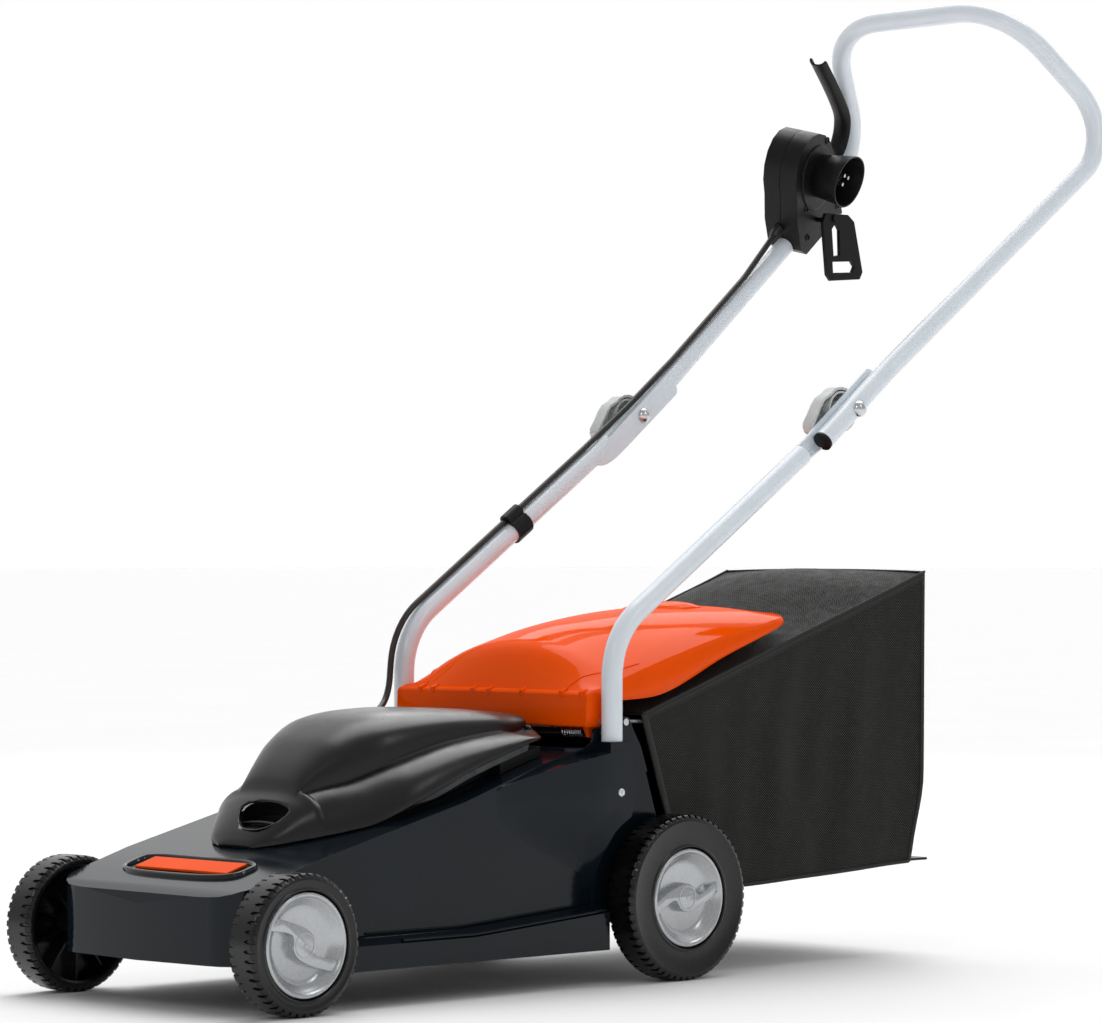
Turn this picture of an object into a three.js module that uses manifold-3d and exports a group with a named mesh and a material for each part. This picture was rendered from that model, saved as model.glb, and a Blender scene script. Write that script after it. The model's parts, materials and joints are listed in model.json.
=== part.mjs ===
// Small electric rotary lawn mower with a rear grass bag.
// Millimetres, +Z up, front of the machine towards -Y, +X is the machine's left side.
// Inside this file y = 0 is midway between the axles and z = 0 is the ground. The exported group
// is moved so that its origin is the centre of the machine's footprint.
import * as THREE from 'three';
import { mergeVertices } from 'three/addons/utils/BufferGeometryUtils.js';
import Module from 'manifold-3d';

const wasm = await Module();
wasm.setup();

// ---- driving dimensions -------------------------------------------------------------------
const FOOTPRINT_CENTRE_X = -7; // the switch box reaches further out than the handle
const FOOTPRINT_CENTRE_Y = 311.35;
const GAP = 0.3; // between solids that touch
const WALL = 3; // moulded walls

const WHEELBASE = 532;
const WHEEL_FACE_X = 195; // outer face of every wheel
const WHEEL_WIDTH = 38.5;
const FRONT_RADIUS = 70;
const REAR_RADIUS = 87;
const RIM_RADIUS = 51.8;
const AXLE_RADIUS = 5;
const HEIGHT_TRAVEL = 24; // axles move up this far for the lowest cut

const DECK_HALF = 148; // upper side walls
const SKIRT_HALF = 172; // flared skirts beside the blade
const DECK_FRONT_Y = -322;
const DECK_BOTTOM = 47;
const SKIRT_BOTTOM = 37;
const SKIRT_FRONT_Y = -188;
const SKIRT_REAR_Y = 170;
const PANEL_HALF = DECK_HALF - WALL - GAP; // rear side panels sit just inside the walls

const MOTOR_Y = -10;
const BLADE_RADIUS = 160;
const BLADE_Z = 48;

const TUBE_RADIUS = 11.2;
const TUBE_WALL = 1.5;
const LOWER_TUBE_X = 161;
const LOWER_TUBE_Y = 184;
const SOCKET_FLOOR = 214; // the lower tubes stand in bosses on the deck walls
const HANDLE_SCREW_RADIUS = 2;
const HANDLE_SCREW_Z = 240;
const JOINT = new THREE.Vector3(168, 551, 608); // joint bolt on the left side
const ELBOW = new THREE.Vector3(201.3, 979, 935.3); // where the upper tube turns up
const CROSSBAR_END = new THREE.Vector3(133.6, 854.2, 1079.6);
const UPPER_TUBE_TAIL = 61; // upper tube beyond the joint bolt

const FLAP_HINGE = new THREE.Vector3(0, 182, 262);
const HANGER_ROD = new THREE.Vector3(0, 216, 272);

// ---- materials ----------------------------------------------------------------------------
const finish = (color, roughness, metalness = 0) =>
  new THREE.MeshStandardMaterial({ color, roughness, metalness });
const deckPaint = () => finish(0x1c262c, 0.25);
const orangePlastic = () => finish(0xfa4b05, 0.2);
const blackPlastic = () => finish(0x101010, 0.5);
const silverPlastic = () => finish(0xb4b8bb, 0.35, 0.3);
const greyPlastic = () => finish(0xc8c8c2, 0.4);
const paleTube = () => finish(0xcddce8, 0.3);
const steel = () => finish(0xb0b4b8, 0.35, 1);
const darkSteel = () => finish(0x2a2c2e, 0.45, 0.8);
const copperIron = () => finish(0x6a5a4c, 0.6, 0.6);
const meshFabric = () => finish(0x17170f, 0.9);
const cableRubber = () => finish(0x141414, 0.6);

// ---- solid modelling helpers --------------------------------------------------------------
function toSolid(geometry) {
  const bare = geometry.clone();
  bare.deleteAttribute('normal');
  bare.deleteAttribute('uv');
  const merged = mergeVertices(bare, 1e-3);
  return new wasm.Manifold(new wasm.Mesh({
    numProp: 3,
    vertProperties: new Float32Array(merged.attributes.position.array),
    triVerts: new Uint32Array(merged.index.array),
  }));
}

function toGeometry(solid) {
  const mesh = solid.getMesh();
  const geometry = new THREE.BufferGeometry();
  geometry.setAttribute('position', new THREE.BufferAttribute(mesh.vertProperties, 3));
  geometry.setIndex(new THREE.BufferAttribute(mesh.triVerts, 1));
  return geometry;
}

function join(...geometries) {
  return toGeometry(geometries.map(toSolid).reduce((all, one) => all.add(one)));
}

function cut(base, ...tools) {
  return toGeometry(tools.map(toSolid).reduce((left, tool) => left.subtract(tool), toSolid(base)));
}

function common(first, second) {
  return toGeometry(toSolid(first).intersect(toSolid(second)));
}

// The same shape on the other side of the machine.
function mirrored(geometry) {
  const flipped = toGeometry(toSolid(geometry)).applyMatrix4(new THREE.Matrix4().makeScale(-1, 1, 1));
  const index = flipped.index.array;
  for (let i = 0; i < index.length; i += 3) [index[i], index[i + 1]] = [index[i + 1], index[i]];
  return flipped;
}

const AXES = {
  x: new THREE.Vector3(1, 0, 0),
  y: new THREE.Vector3(0, 1, 0),
  z: new THREE.Vector3(0, 0, 1),
};

// Turns a geometry built along +Y so that it lies along the given axis.
function along(geometry, axis) {
  const turn = new THREE.Quaternion().setFromUnitVectors(AXES.y, AXES[axis] ?? axis);
  return geometry.applyQuaternion(turn);
}

const block = (x0, x1, y0, y1, z0, z1) => new THREE.BoxGeometry(x1 - x0, y1 - y0, z1 - z0)
  .translate((x0 + x1) / 2, (y0 + y1) / 2, (z0 + z1) / 2);

function rod(axis, radius, from, to, centre, sides = 16) {
  const bar = new THREE.CylinderGeometry(radius, radius, to - from, sides).translate(0, (from + to) / 2, 0);
  return along(bar, axis).translate(...centre);
}

// A profile of [radius, height] pairs turned about an axis. A profile that doesn't start and end
// on the axis is closed on itself, which makes a ring.
function turned(profile, axis, centre = [0, 0, 0], segments = 28) {
  const points = profile.map(([radius, height]) => new THREE.Vector2(radius, height));
  const onAxis = profile[0][0] === 0 && profile.at(-1)[0] === 0;
  if (!onAxis) points.push(points[0].clone());
  const geometry = new THREE.LatheGeometry(points, segments);
  return along(outward(geometry), axis).translate(...centre);
}

// Makes sure that the faces of a closed geometry point out.
function outward(geometry) {
  const position = geometry.attributes.position;
  const index = geometry.index.array;
  const [a, b, c] = [new THREE.Vector3(), new THREE.Vector3(), new THREE.Vector3()];
  let volume = 0;
  for (let i = 0; i < index.length; i += 3) {
    a.fromBufferAttribute(position, index[i]);
    b.fromBufferAttribute(position, index[i + 1]);
    c.fromBufferAttribute(position, index[i + 2]);
    volume += a.dot(b.cross(c));
  }
  if (volume < 0) {
    for (let i = 0; i < index.length; i += 3) [index[i], index[i + 1]] = [index[i + 1], index[i]];
  }
  return geometry;
}

// An outline of [y, z] points pushed from x0 to x1.
function sidePlate(outline, x0, x1) {
  const shape = new THREE.Shape(outline.map(([y, z]) => new THREE.Vector2(y, z)));
  const plate = new THREE.ExtrudeGeometry(shape, { depth: x1 - x0, bevelEnabled: false });
  return plate.applyMatrix4(new THREE.Matrix4().makeBasis(AXES.y, AXES.z, AXES.x)).translate(x0, 0, 0);
}

// An outline of [x, y] points pushed from z0 to z1.
function floorPlate(outline, z0, z1) {
  const shape = new THREE.Shape(outline.map(([x, y]) => new THREE.Vector2(x, y)));
  return new THREE.ExtrudeGeometry(shape, { depth: z1 - z0, bevelEnabled: false }).translate(0, 0, z0);
}

// Stitches closed rings of [x, y, z] points into one solid, with flat or gently bent ends.
function loft(rings) {
  const count = rings[0].length;
  const positions = rings.flat(2);
  const faces = [];
  for (let r = 0; r < rings.length - 1; r += 1) {
    for (let i = 0; i < count; i += 1) {
      const j = (i + 1) % count;
      const [a, b, c, d] = [r * count + i, r * count + j, (r + 1) * count + j, (r + 1) * count + i];
      faces.push(a, b, c, a, c, d);
    }
  }
  const last = (rings.length - 1) * count;
  for (let i = 0; i < count / 2 - 1; i += 1) {
    const [a, b, c, d] = [i, i + 1, count - 2 - i, count - 1 - i];
    faces.push(d, c, b, d, b, a);
    faces.push(last + a, last + b, last + c, last + a, last + c, last + d);
  }
  const geometry = new THREE.BufferGeometry();
  geometry.setAttribute('position', new THREE.Float32BufferAttribute(positions, 3));
  geometry.setIndex(faces);
  return outward(toGeometry(toSolid(outward(geometry))));
}

// A path through corners, each rounded by an arc: straight runs take one step, arcs a few.
class BentPath extends THREE.Curve {
  constructor(corners, radii, arcSteps = 5) {
    super();
    this.stations = [corners[0].clone()];
    for (let i = 1; i < corners.length - 1; i += 1) {
      const back = corners[i - 1].clone().sub(corners[i]).normalize();
      const ahead = corners[i + 1].clone().sub(corners[i]).normalize();
      const half = back.angleTo(ahead) / 2;
      const radius = radii[i - 1];
      const bisector = back.clone().add(ahead).normalize();
      const centre = corners[i].clone().addScaledVector(bisector, radius / Math.sin(half));
      const inward = bisector.clone().negate();
      const tangent = ahead.clone().sub(back).normalize();
      const sweep = Math.PI / 2 - half;
      for (let k = 0; k <= arcSteps; k += 1) {
        const angle = -sweep + (2 * sweep * k) / arcSteps;
        this.stations.push(centre.clone()
          .addScaledVector(inward, radius * Math.cos(angle))
          .addScaledVector(tangent, radius * Math.sin(angle)));
      }
    }
    this.stations.push(corners.at(-1).clone());
  }

  get steps() {
    return this.stations.length - 1;
  }

  getPointAt(u) {
    return this.stations[Math.round(u * this.steps)].clone();
  }

  getPoint(u) {
    return this.getPointAt(u);
  }

  getTangentAt(u) {
    const i = Math.round(u * this.steps);
    const before = this.stations[Math.max(i - 1, 0)];
    const after = this.stations[Math.min(i + 1, this.steps)];
    const here = this.stations[i];
    const incoming = here.clone().sub(before).normalize();
    const outgoing = after.clone().sub(here).normalize();
    return incoming.add(outgoing).normalize();
  }
}

function circleShape(radius, sides) {
  const points = [];
  for (let i = 0; i < sides; i += 1) {
    const angle = (2 * Math.PI * i) / sides;
    points.push(new THREE.Vector2(radius * Math.cos(angle), radius * Math.sin(angle)));
  }
  return points;
}

function tube(path, radius, bore = 0, sides = 10) {
  const shape = new THREE.Shape(circleShape(radius, sides));
  if (bore > 0) shape.holes.push(new THREE.Path(circleShape(bore, sides)));
  return new THREE.ExtrudeGeometry(shape, { steps: path.steps, bevelEnabled: false, extrudePath: path });
}

const point = (x, y, z) => new THREE.Vector3(x, y, z);
const machine = new THREE.Group();

function add(name, geometry, material, group = machine) {
  geometry.computeVertexNormals();
  const mesh = new THREE.Mesh(geometry, material);
  mesh.name = name;
  group.add(mesh);
  return mesh;
}

// ---- deck ---------------------------------------------------------------------------------
// Height of the deck's top along the machine.
const DECK_TOP = [
  [-322, 104], [-316, 114], [-300, 121], [-258, 133], [-213, 147], [-159, 160],
  [-77, 180], [-13, 197], [100, 233], [158, 246],
];

function deckTop(y) {
  const next = Math.max(1, DECK_TOP.findIndex(([station]) => station >= y));
  const [[y0, z0], [y1, z1]] = [DECK_TOP[next - 1], DECK_TOP[next]];
  return z0 + ((z1 - z0) * (y - y0)) / (y1 - y0);
}

// Plan of the deck: bowed front, rounded front corners, straight sides.
function deckPlan(half, front, rear) {
  const corner = 44;
  const bow = 7;
  const outline = [[half, rear], [-half, rear]];
  for (let k = 0; k <= 5; k += 1) {
    const angle = (Math.PI / 2) * (k / 5);
    const x = half - corner + corner * Math.cos(angle);
    outline.unshift([x, front + bow + corner - corner * Math.sin(angle)]);
    outline.push([-x, front + bow + corner - corner * Math.sin(angle)]);
  }
  outline.push([0, front]);
  return outline;
}

function skirt(half, floor, drop, inner) {
  const ledge = (y) => 62 + Math.max(0, (y + 20) / 190) * 14;
  const ring = (y) => [
    [inner, y, floor], [half, y, floor], [half, y, ledge(y) - drop], [inner, y, ledge(y) + 9 - drop],
  ];
  const shrink = drop > 0 ? WALL : 0;
  return loft([SKIRT_FRONT_Y + shrink, -20, 80, SKIRT_REAR_Y - shrink].map(ring));
}

function axleSlot(y, z) {
  const clear = AXLE_RADIUS + 1;
  return block(-200, 200, y - clear, y + clear, z - clear, z + HEIGHT_TRAVEL + clear);
}

function deckHousing() {
  const top = DECK_TOP.slice(1, -1);
  const side = [
    [DECK_FRONT_Y, DECK_BOTTOM], [DECK_FRONT_Y, 104], ...top, [158, 246], [168, 252], [172, 266], [190, 270],
    [198, 263], [208, 266], [212, 278], [222, 277], [230, 262], [240, 246], [250, 219],
    [206, 201], [188, 189], [176, 168], [171, 145], [171, 62],
  ];
  const inside = [
    [DECK_FRONT_Y + WALL, 20], [DECK_FRONT_Y + WALL, 104 - WALL],
    ...top.map(([y, z]) => [y + 1, z - WALL]), [158, 243], [165, 300], [300, 300], [300, 20],
  ];
  const shellOuter = common(sidePlate(side, -DECK_HALF, DECK_HALF),
    floorPlate(deckPlan(DECK_HALF, DECK_FRONT_Y, 260), 30, 300));
  const shellInner = common(sidePlate(inside, -DECK_HALF + WALL, DECK_HALF - WALL),
    floorPlate(deckPlan(DECK_HALF - WALL, DECK_FRONT_Y + WALL, 320), 10, 310));
  const flare = skirt(SKIRT_HALF, SKIRT_BOTTOM, 0, DECK_HALF - WALL);
  const flareInside = skirt(SKIRT_HALF - WALL, 10, WALL, DECK_HALF - 8);
  const ramp = sidePlate([[156, 54], [276, 132], [276, 136], [156, 58]], -PANEL_HALF + WALL + GAP,
    PANEL_HALF - WALL - GAP);
  const rampFoot = sidePlate([[156, 54], [166, 60.5], [166, 64.5], [156, 58]], -SKIRT_HALF + 1, SKIRT_HALF - 1);
  const shell = cut(join(shellOuter, flare, mirrored(flare)), shellInner, flareInside, mirrored(flareInside));
  const tubeBore = rod('z', TUBE_RADIUS + GAP, SOCKET_FLOOR, 300, [LOWER_TUBE_X, LOWER_TUBE_Y, 0]);
  return cut(join(shell, ramp, rampFoot, tubeBoss(), mirrored(tubeBoss())),
    tubeBore,
    mirrored(tubeBore),
    rod('x', HANDLE_SCREW_RADIUS + GAP, -155, 155, [0, LOWER_TUBE_Y, HANDLE_SCREW_Z], 10),
    axleSlot(-WHEELBASE / 2, FRONT_RADIUS),
    rod('z', 93, 100, 300, [0, MOTOR_Y, 0], 32),
    rod('x', 4 + GAP, -200, 200, FLAP_HINGE.toArray(), 12),
    rod('x', 4 + GAP, -200, 200, HANGER_ROD.toArray(), 12));
}

// Boss outside the deck wall that the lower handle tube stands in.
function tubeBoss() {
  const ring = (z, outer, front, rear) => [
    [DECK_HALF - 1, front, z], [outer, front, z], [outer, rear, z], [DECK_HALF - 1, rear, z],
  ];
  return loft([
    ring(188, DECK_HALF + 1, 180, 188),
    ring(SOCKET_FLOOR - 4, LOWER_TUBE_X + 13.5, 169, 199),
    ring(253, LOWER_TUBE_X + 13.5, 169, 199),
  ]);
}

function rearPanel() {
  const outline = [
    [167, 62], [167, 147], [173, 170], [184, 193], [202, 207], [245, 224],
    [252, 216], [265, 176], [278, 138], [293, 92], [293, 62],
  ];
  const plate = sidePlate(outline, PANEL_HALF - WALL, PANEL_HALF);
  return cut(plate, axleSlot(WHEELBASE / 2, REAR_RADIUS));
}

function addPair(name, build, material) {
  add(`${name}_left`, build(), material());
  add(`${name}_right`, mirrored(build()), material());
}

function badgePlate() {
  const [front, middle, rear] = [-265, -258, -238];
  const [under, over] = [GAP, 3];
  return sidePlate([
    [front, deckTop(front) + under], [middle, deckTop(middle) + under], [rear, deckTop(rear) + under],
    [rear, deckTop(rear) + over], [middle, deckTop(middle) + over], [front, deckTop(front) + over],
  ], -72, 72);
}

function rearPanelScrew() {
  return rod('x', 4.5, PANEL_HALF + GAP, PANEL_HALF + 3.6, [0, 209, 196], 12);
}

add('deck_housing', deckHousing(), deckPaint());
addPair('rear_panel', rearPanel, deckPaint);
addPair('rear_panel_screw', rearPanelScrew, steel);
add('badge_plate', badgePlate(), orangePlastic());

// ---- motor cover --------------------------------------------------------------------------
// Each station: y, half-width of the wing, height of its edge above the deck, half-width of the
// dome at its foot, height of the foot, height of the crown.
const COVER_STATIONS = [
  [-194, 26, 1, 14, 156, 158.5], [-187, 44, 1, 27, 167, 170], [-175, 58, 1, 36, 182, 186],
  [-161, 70, 1, 41, 196, 200], [-151, 79, 1, 44, 204, 209], [-143, 85, 1, 47, 208, 222],
  [-128, 96, 1, 54, 213, 240], [-102, 112, 2, 68, 220, 262], [-60, 127, 12, 83, 236, 281],
  [10, 131, 21, 89, 255, 288], [88, 131, 21, 89, 265, 286], [112, 129, 20, 88, 262.5, 284],
  [128, 108, 17, 86, 266, 282.5], [148, 84, 14, 82, 271, 280],
];

// One side of the cover's section, from the wing's edge to beside the crown, moved in by inset.
function coverSide([y, wing, lift, dome, foot, crown], inset) {
  const edge = deckTop(y) + GAP + lift;
  const [w, d, f, c] = [wing - inset, dome - inset, foot - inset, crown - inset];
  const rise = c - f;
  return [
    [w, edge], [w, edge + 0.4 * (f - 2 - edge)], [Math.min((w + d) / 2 + 3, w - 0.5), f - 2], [d, f],
    [0.96 * d, f + 0.45 * rise], [0.82 * d, f + 0.82 * rise], [0.5 * d, f + 0.97 * rise],
  ].map(([x, z]) => [x, y, z]);
}

const bothSides = (side) => [...side, ...side.map(([x, y, z]) => [-x, y, z]).reverse()];

// The station values at any place along the cover.
function coverAt(place) {
  const next = Math.max(1, COVER_STATIONS.findIndex(([y]) => y >= place));
  const [before, after] = [COVER_STATIONS[next - 1], COVER_STATIONS[next]];
  const share = (place - before[0]) / (after[0] - before[0]);
  return before.map((value, i) => value + share * (after[i] - value));
}

// Outside and inside of the shell as one ring. At a closed end the inside lies along the foot.
function coverRing(place, closed) {
  const station = coverAt(place);
  const foot = coverSide(station, 0)[0][2];
  const inside = coverSide(station, WALL)
    .map(([x, y, z], i) => (closed ? [x * 0.9, y, foot + 0.15 * i] : [x, y, z]));
  return [...bothSides(coverSide(station, 0)), ...bothSides(inside).reverse()];
}

function motorCover() {
  const [nose, tail] = [COVER_STATIONS[0][0], COVER_STATIONS.at(-1)[0]];
  const places = COVER_STATIONS.slice(1, -1).map(([y]) => y);
  const shell = [nose + WALL, ...places, tail - WALL].map((y) => coverRing(y, false));
  return loft([coverRing(nose, true), ...shell, coverRing(tail, true)]);
}

add('motor_cover', motorCover(), blackPlastic());

// ---- motor --------------------------------------------------------------------------------
const MOTOR_FLOOR = 84;

// The deck's top line between two stations, lifted.
function deckLine(from, to, lift) {
  const between = DECK_TOP.map(([y]) => y).filter((y) => y > from && y < to);
  return [from, ...between, to].map((y) => [y, deckTop(y) + lift]);
}

const onDeck = (from, to, under, over, x0, x1) =>
  sidePlate([...deckLine(from, to, under), ...deckLine(from, to, over).reverse()], x0, x1);

function motorBase() {
  const [front, rear, half] = [-110, 118, 104];
  const tray = onDeck(front, rear, GAP, 5, -half, half);
  const duct = onDeck(60, rear, GAP, 12, half - 4, half + 18);
  const underTray = sidePlate([
    [front, MOTOR_FLOOR], [rear, MOTOR_FLOOR], ...deckLine(front, rear, 3).reverse(),
  ], -half, half);
  const cup = common(rod('z', 92, MOTOR_FLOOR, 260, [0, MOTOR_Y, 0], 32), underTray);
  const well = rod('z', 89, MOTOR_FLOOR + 4, 300, [0, MOTOR_Y, 0], 32);
  const shaftHole = rod('z', BEARING_SEAT, 50, 120, [0, MOTOR_Y, 0], 20);
  return cut(join(tray, cup, duct, mirrored(duct)), well, shaftHole);
}

const BEARING_SEAT = 16.3;
const SHAFT_RADIUS = 8;
const SHAFT_NECK = 6;
const SHAFT_FOOT = 62;
const STATOR_TOP = 205;
const STATOR_RADIUS = 56;
const FAN_Z = 208;
const BOLT_RADIUS = 5;
const aboutMotor = (profile, segments = 18) => turned(profile, 'z', [0, MOTOR_Y, 0], segments);

const motorPlate = () => aboutMotor([[BEARING_SEAT, 88.3], [75, 88.3], [75, 91.3], [BEARING_SEAT, 91.3]]);

const motorStator = () => aboutMotor([
  [BEARING_SEAT, 92], [STATOR_RADIUS, 92], [STATOR_RADIUS, STATOR_TOP], [13.3, STATOR_TOP],
  [13.3, STATOR_TOP - 3], [46, STATOR_TOP - 3], [46, 95], [BEARING_SEAT, 95],
]);

const bearing = (bore, rim, from, to) => aboutMotor([[bore, from], [rim, from], [rim, to], [bore, to]], 16);

const motorShaft = () => aboutMotor([
  [0, 84], [BOLT_RADIUS + GAP, 84], [BOLT_RADIUS + GAP, SHAFT_FOOT], [SHAFT_RADIUS, SHAFT_FOOT],
  [SHAFT_RADIUS, 191], [SHAFT_NECK, 191], [SHAFT_NECK, 232], [0, 232],
], 20);

const rotorCore = () => bearing(SHAFT_RADIUS + GAP, 44, 105, 190);

function coolingFan() {
  const hub = aboutMotor([
    [SHAFT_NECK + GAP, FAN_Z], [50, FAN_Z], [50, FAN_Z + 2], [14, FAN_Z + 2], [14, FAN_Z + 14],
    [SHAFT_NECK + GAP, FAN_Z + 14],
  ]);
  const blades = [];
  for (let i = 0; i < 8; i += 1) {
    blades.push(block(12, 48, -1, 1, FAN_Z + 1, FAN_Z + 12).rotateZ((Math.PI / 4) * i).translate(0, MOTOR_Y, 0));
  }
  return join(hub, ...blades);
}

const bladeCarrier = () => aboutMotor([
  [BOLT_RADIUS + GAP, 51.3], [22, 51.3], [22, 60], [14, 65], [14, 82], [SHAFT_RADIUS + GAP, 82],
  [SHAFT_RADIUS + GAP, 61.7], [BOLT_RADIUS + GAP, 61.7],
]);

function cuttingBlade() {
  const [half, tip] = [22, BLADE_RADIUS];
  const bar = floorPlate([
    [-tip, half - 8], [-tip + 6, -half], [-60, -half], [60, -half], [tip - 10, -half], [tip, 8 - half],
    [tip - 6, half], [60, half], [-60, half], [-tip + 10, half],
  ], BLADE_Z, BLADE_Z + 3).translate(0, MOTOR_Y, 0);
  const sail = block(-14, 14, -1.5, 1.5, 0, 12);
  const lift = [1, -1].map((side) => sail.clone()
    .translate(side * 130, MOTOR_Y + side * (half - 1.5), BLADE_Z + 2));
  return cut(join(bar, ...lift), rod('z', BOLT_RADIUS + GAP, 20, 80, [0, MOTOR_Y, 0]));
}

const bladeBolt = () => aboutMotor([
  [0, 41], [9, 41], [10, 44], [10, 47.7], [BOLT_RADIUS, 47.7], [BOLT_RADIUS, 80], [0, 80],
], 20);

add('motor_base', motorBase(), blackPlastic());
add('motor_plate', motorPlate(), steel());
add('motor_stator', motorStator(), copperIron());
add('upper_bearing', bearing(SHAFT_NECK + GAP, 13, 198, 207), steel());
add('lower_bearing', bearing(SHAFT_RADIUS + GAP, 16, 84.3, 98), steel());
add('run_capacitor', rod('y', 13, -30, 30, [-60, 0, 238], 20), greyPlastic());
add('motor_shaft', motorShaft(), steel());
add('rotor_core', rotorCore(), steel());
add('cooling_fan', coolingFan(), blackPlastic());
add('blade_carrier', bladeCarrier(), blackPlastic());
add('cutting_blade', cuttingBlade(), darkSteel());
add('blade_bolt', bladeBolt(), steel());

// ---- wheels and axles ---------------------------------------------------------------------
const HUB_FACE = 14; // the web of a wheel lies this far inside its outer face
const HUB_DEPTH = 34;

function axle(y, z) {
  const [web, hubEnd] = [WHEEL_FACE_X - HUB_FACE, WHEEL_FACE_X - HUB_DEPTH];
  const half = [[AXLE_RADIUS, hubEnd - 6], [8, hubEnd - 6], [8, hubEnd - GAP], [AXLE_RADIUS, hubEnd - GAP],
    [AXLE_RADIUS, web + GAP], [9, web + GAP], [9, web + 6]];
  const profile = [[0, -web - 6], ...half.map(([r, x]) => [r, -x]).reverse(), ...half, [0, web + 6]];
  return turned(profile, 'x', [0, y, z], 16);
}

function wheel(radius, y) {
  const bore = AXLE_RADIUS + GAP;
  const inner = radius - 12;
  const profile = [
    [bore, -HUB_DEPTH], [13, -HUB_DEPTH], [13, -HUB_FACE - 3], [inner, -HUB_FACE - 3], [inner, -36],
    [radius - 3, -WHEEL_WIDTH], [radius, -34], [radius, -5], [radius - 4, 0], [RIM_RADIUS + 3, 0],
    [RIM_RADIUS + 1.2, -2], [RIM_RADIUS + 1.2, -HUB_FACE], [bore, -HUB_FACE],
  ];
  const body = turned(profile, 'x', [0, 0, 0], 24);
  const ribs = [];
  for (let i = 0; i < 10; i += 1) {
    ribs.push(block(-30, -HUB_FACE - 2, -1.2, 1.2, 12, inner + 1).rotateX((Math.PI / 5) * i));
  }
  return join(body, ...ribs).translate(WHEEL_FACE_X, y, radius);
}

function hubCap(radius, y) {
  const seat = -HUB_FACE + GAP;
  const profile = [
    [0, -5], [12, -5], [12, seat], [RIM_RADIUS, seat], [RIM_RADIUS, -2], [RIM_RADIUS - 2, -1], [0, -1],
  ];
  return turned(profile, 'x', [WHEEL_FACE_X, y, radius], 20);
}

const AXLE_ENDS = [['front', FRONT_RADIUS, -WHEELBASE / 2], ['rear', REAR_RADIUS, WHEELBASE / 2]];
for (const [end, radius, y] of AXLE_ENDS) {
  add(`${end}_axle`, axle(y, radius), steel());
  addPair(`wheel_${end}`, () => wheel(radius, y), blackPlastic);
  addPair(`hub_cap_${end}`, () => hubCap(radius, y), silverPlastic);
}

// ---- discharge flap -----------------------------------------------------------------------
// Each station: y, half-width, height of the side's lower edge, height of the crown, how far the
// side's shoulder lies below the crown.
const FLAP_STATIONS = [
  [160, 147, 268, 271, 1], [176, 147.9, 268, 311, 22], [190, 147.9, 292, 350, 46],
  [205, 147.9, 294, 356, 46], [276, 147.9, 301, 374, 42], [366, 147.9, 337, 386.5, 30],
  [455, 146, 368, 391.5, 16], [474, 136, 375, 389.5, 10], [482, 112, 379, 388, 5],
];

function flapRing([y, half, low, crown, drop], shrink) {
  const w = half - shrink;
  const top = crown - shrink;
  const bottom = shrink > 0 ? 180 : low;
  const arch = (x) => top - drop * (x / half) ** 2.3;
  const xs = [w, 0.9 * w, 0.7 * w, 0.4 * w];
  const right = xs.map((x) => [x, y, Math.max(arch(x), low + 1)]);
  const left = right.map(([x, , z]) => [-x, y, z]).reverse();
  return [[-w, y, bottom], [w, y, bottom], ...right, ...left];
}

function dischargeFlap() {
  const { y, z } = FLAP_HINGE;
  const outside = loft(FLAP_STATIONS.map((station) => flapRing(station, 0)));
  const inner = FLAP_STATIONS
    .map(([place, ...rest], i) => [place + (i < 3 ? 3 : 0) - (i > 6 ? 3 : 0), ...rest]);
  const inside = loft(inner.map((station) => flapRing(station, WALL)));
  const grip = block(-42, 42, 420, 442, 386, 398);
  const web = [
    [y - 18, z + 14], [y - 7, z - 6], [y + 7, z - 6], [y + 8, z + 8], [y - 3, z + 40], [y - 9, z + 40],
  ];
  const knuckles = [sidePlate(web, 132, 138), sidePlate(web, -138, -132)];
  // The sides are cut away round the hinge, where they would swing into the deck's walls.
  const clearance = [[144, 160], [-160, -144]].flatMap(([x0, x1]) => [
    block(x0, x1, 140, 173, 200, 287), rod('x', 14, x0, x1, [0, y, z], 20),
  ]);
  const shell = cut(outside, inside, block(-94, 94, 140, 178, 200, 297), ...clearance);
  return cut(join(shell, grip, ...knuckles), rod('x', 4 + GAP, -160, 160, [0, y, z], 12));
}

function flapSpring() {
  const { y, z } = FLAP_HINGE;
  const coil = turned([[4.3, 92], [7, 92], [7, 124], [4.3, 124]], 'x', [0, y, z], 16);
  return join(coil, block(121, 123.6, y, y + 26, z - 6.6, z - 4.6));
}

add('discharge_flap', dischargeFlap(), orangePlastic());
add('flap_hinge_rod', rod('x', 4, -149.2, 149.2, FLAP_HINGE.toArray(), 12), darkSteel());
add('flap_spring', flapSpring(), steel());
add('bag_hanger_rod', rod('x', 4, -150.5, 150.5, HANGER_ROD.toArray(), 12), steel());

// ---- grass bag ----------------------------------------------------------------------------
// Each station: y and height of the top seam, crown above the seam, y and height of the bottom,
// half-width at the seam.
const BAG_STATIONS = [
  [246, 279, 0.5, 309, 92, 144], [300, 297, 6, 352, 91.5, 145.5], [380, 324, 12, 403, 91, 147.5],
  [480, 357.5, 15, 490, 95, 149], [590, 394, 30, 590, 99.5, 150.5], [650, 414, 18, 648, 102.5, 151],
  [690, 428, 2, 686, 104, 152],
];
const BAG_WALL = 2.5;
const FRAME_ROD = 3;

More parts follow.
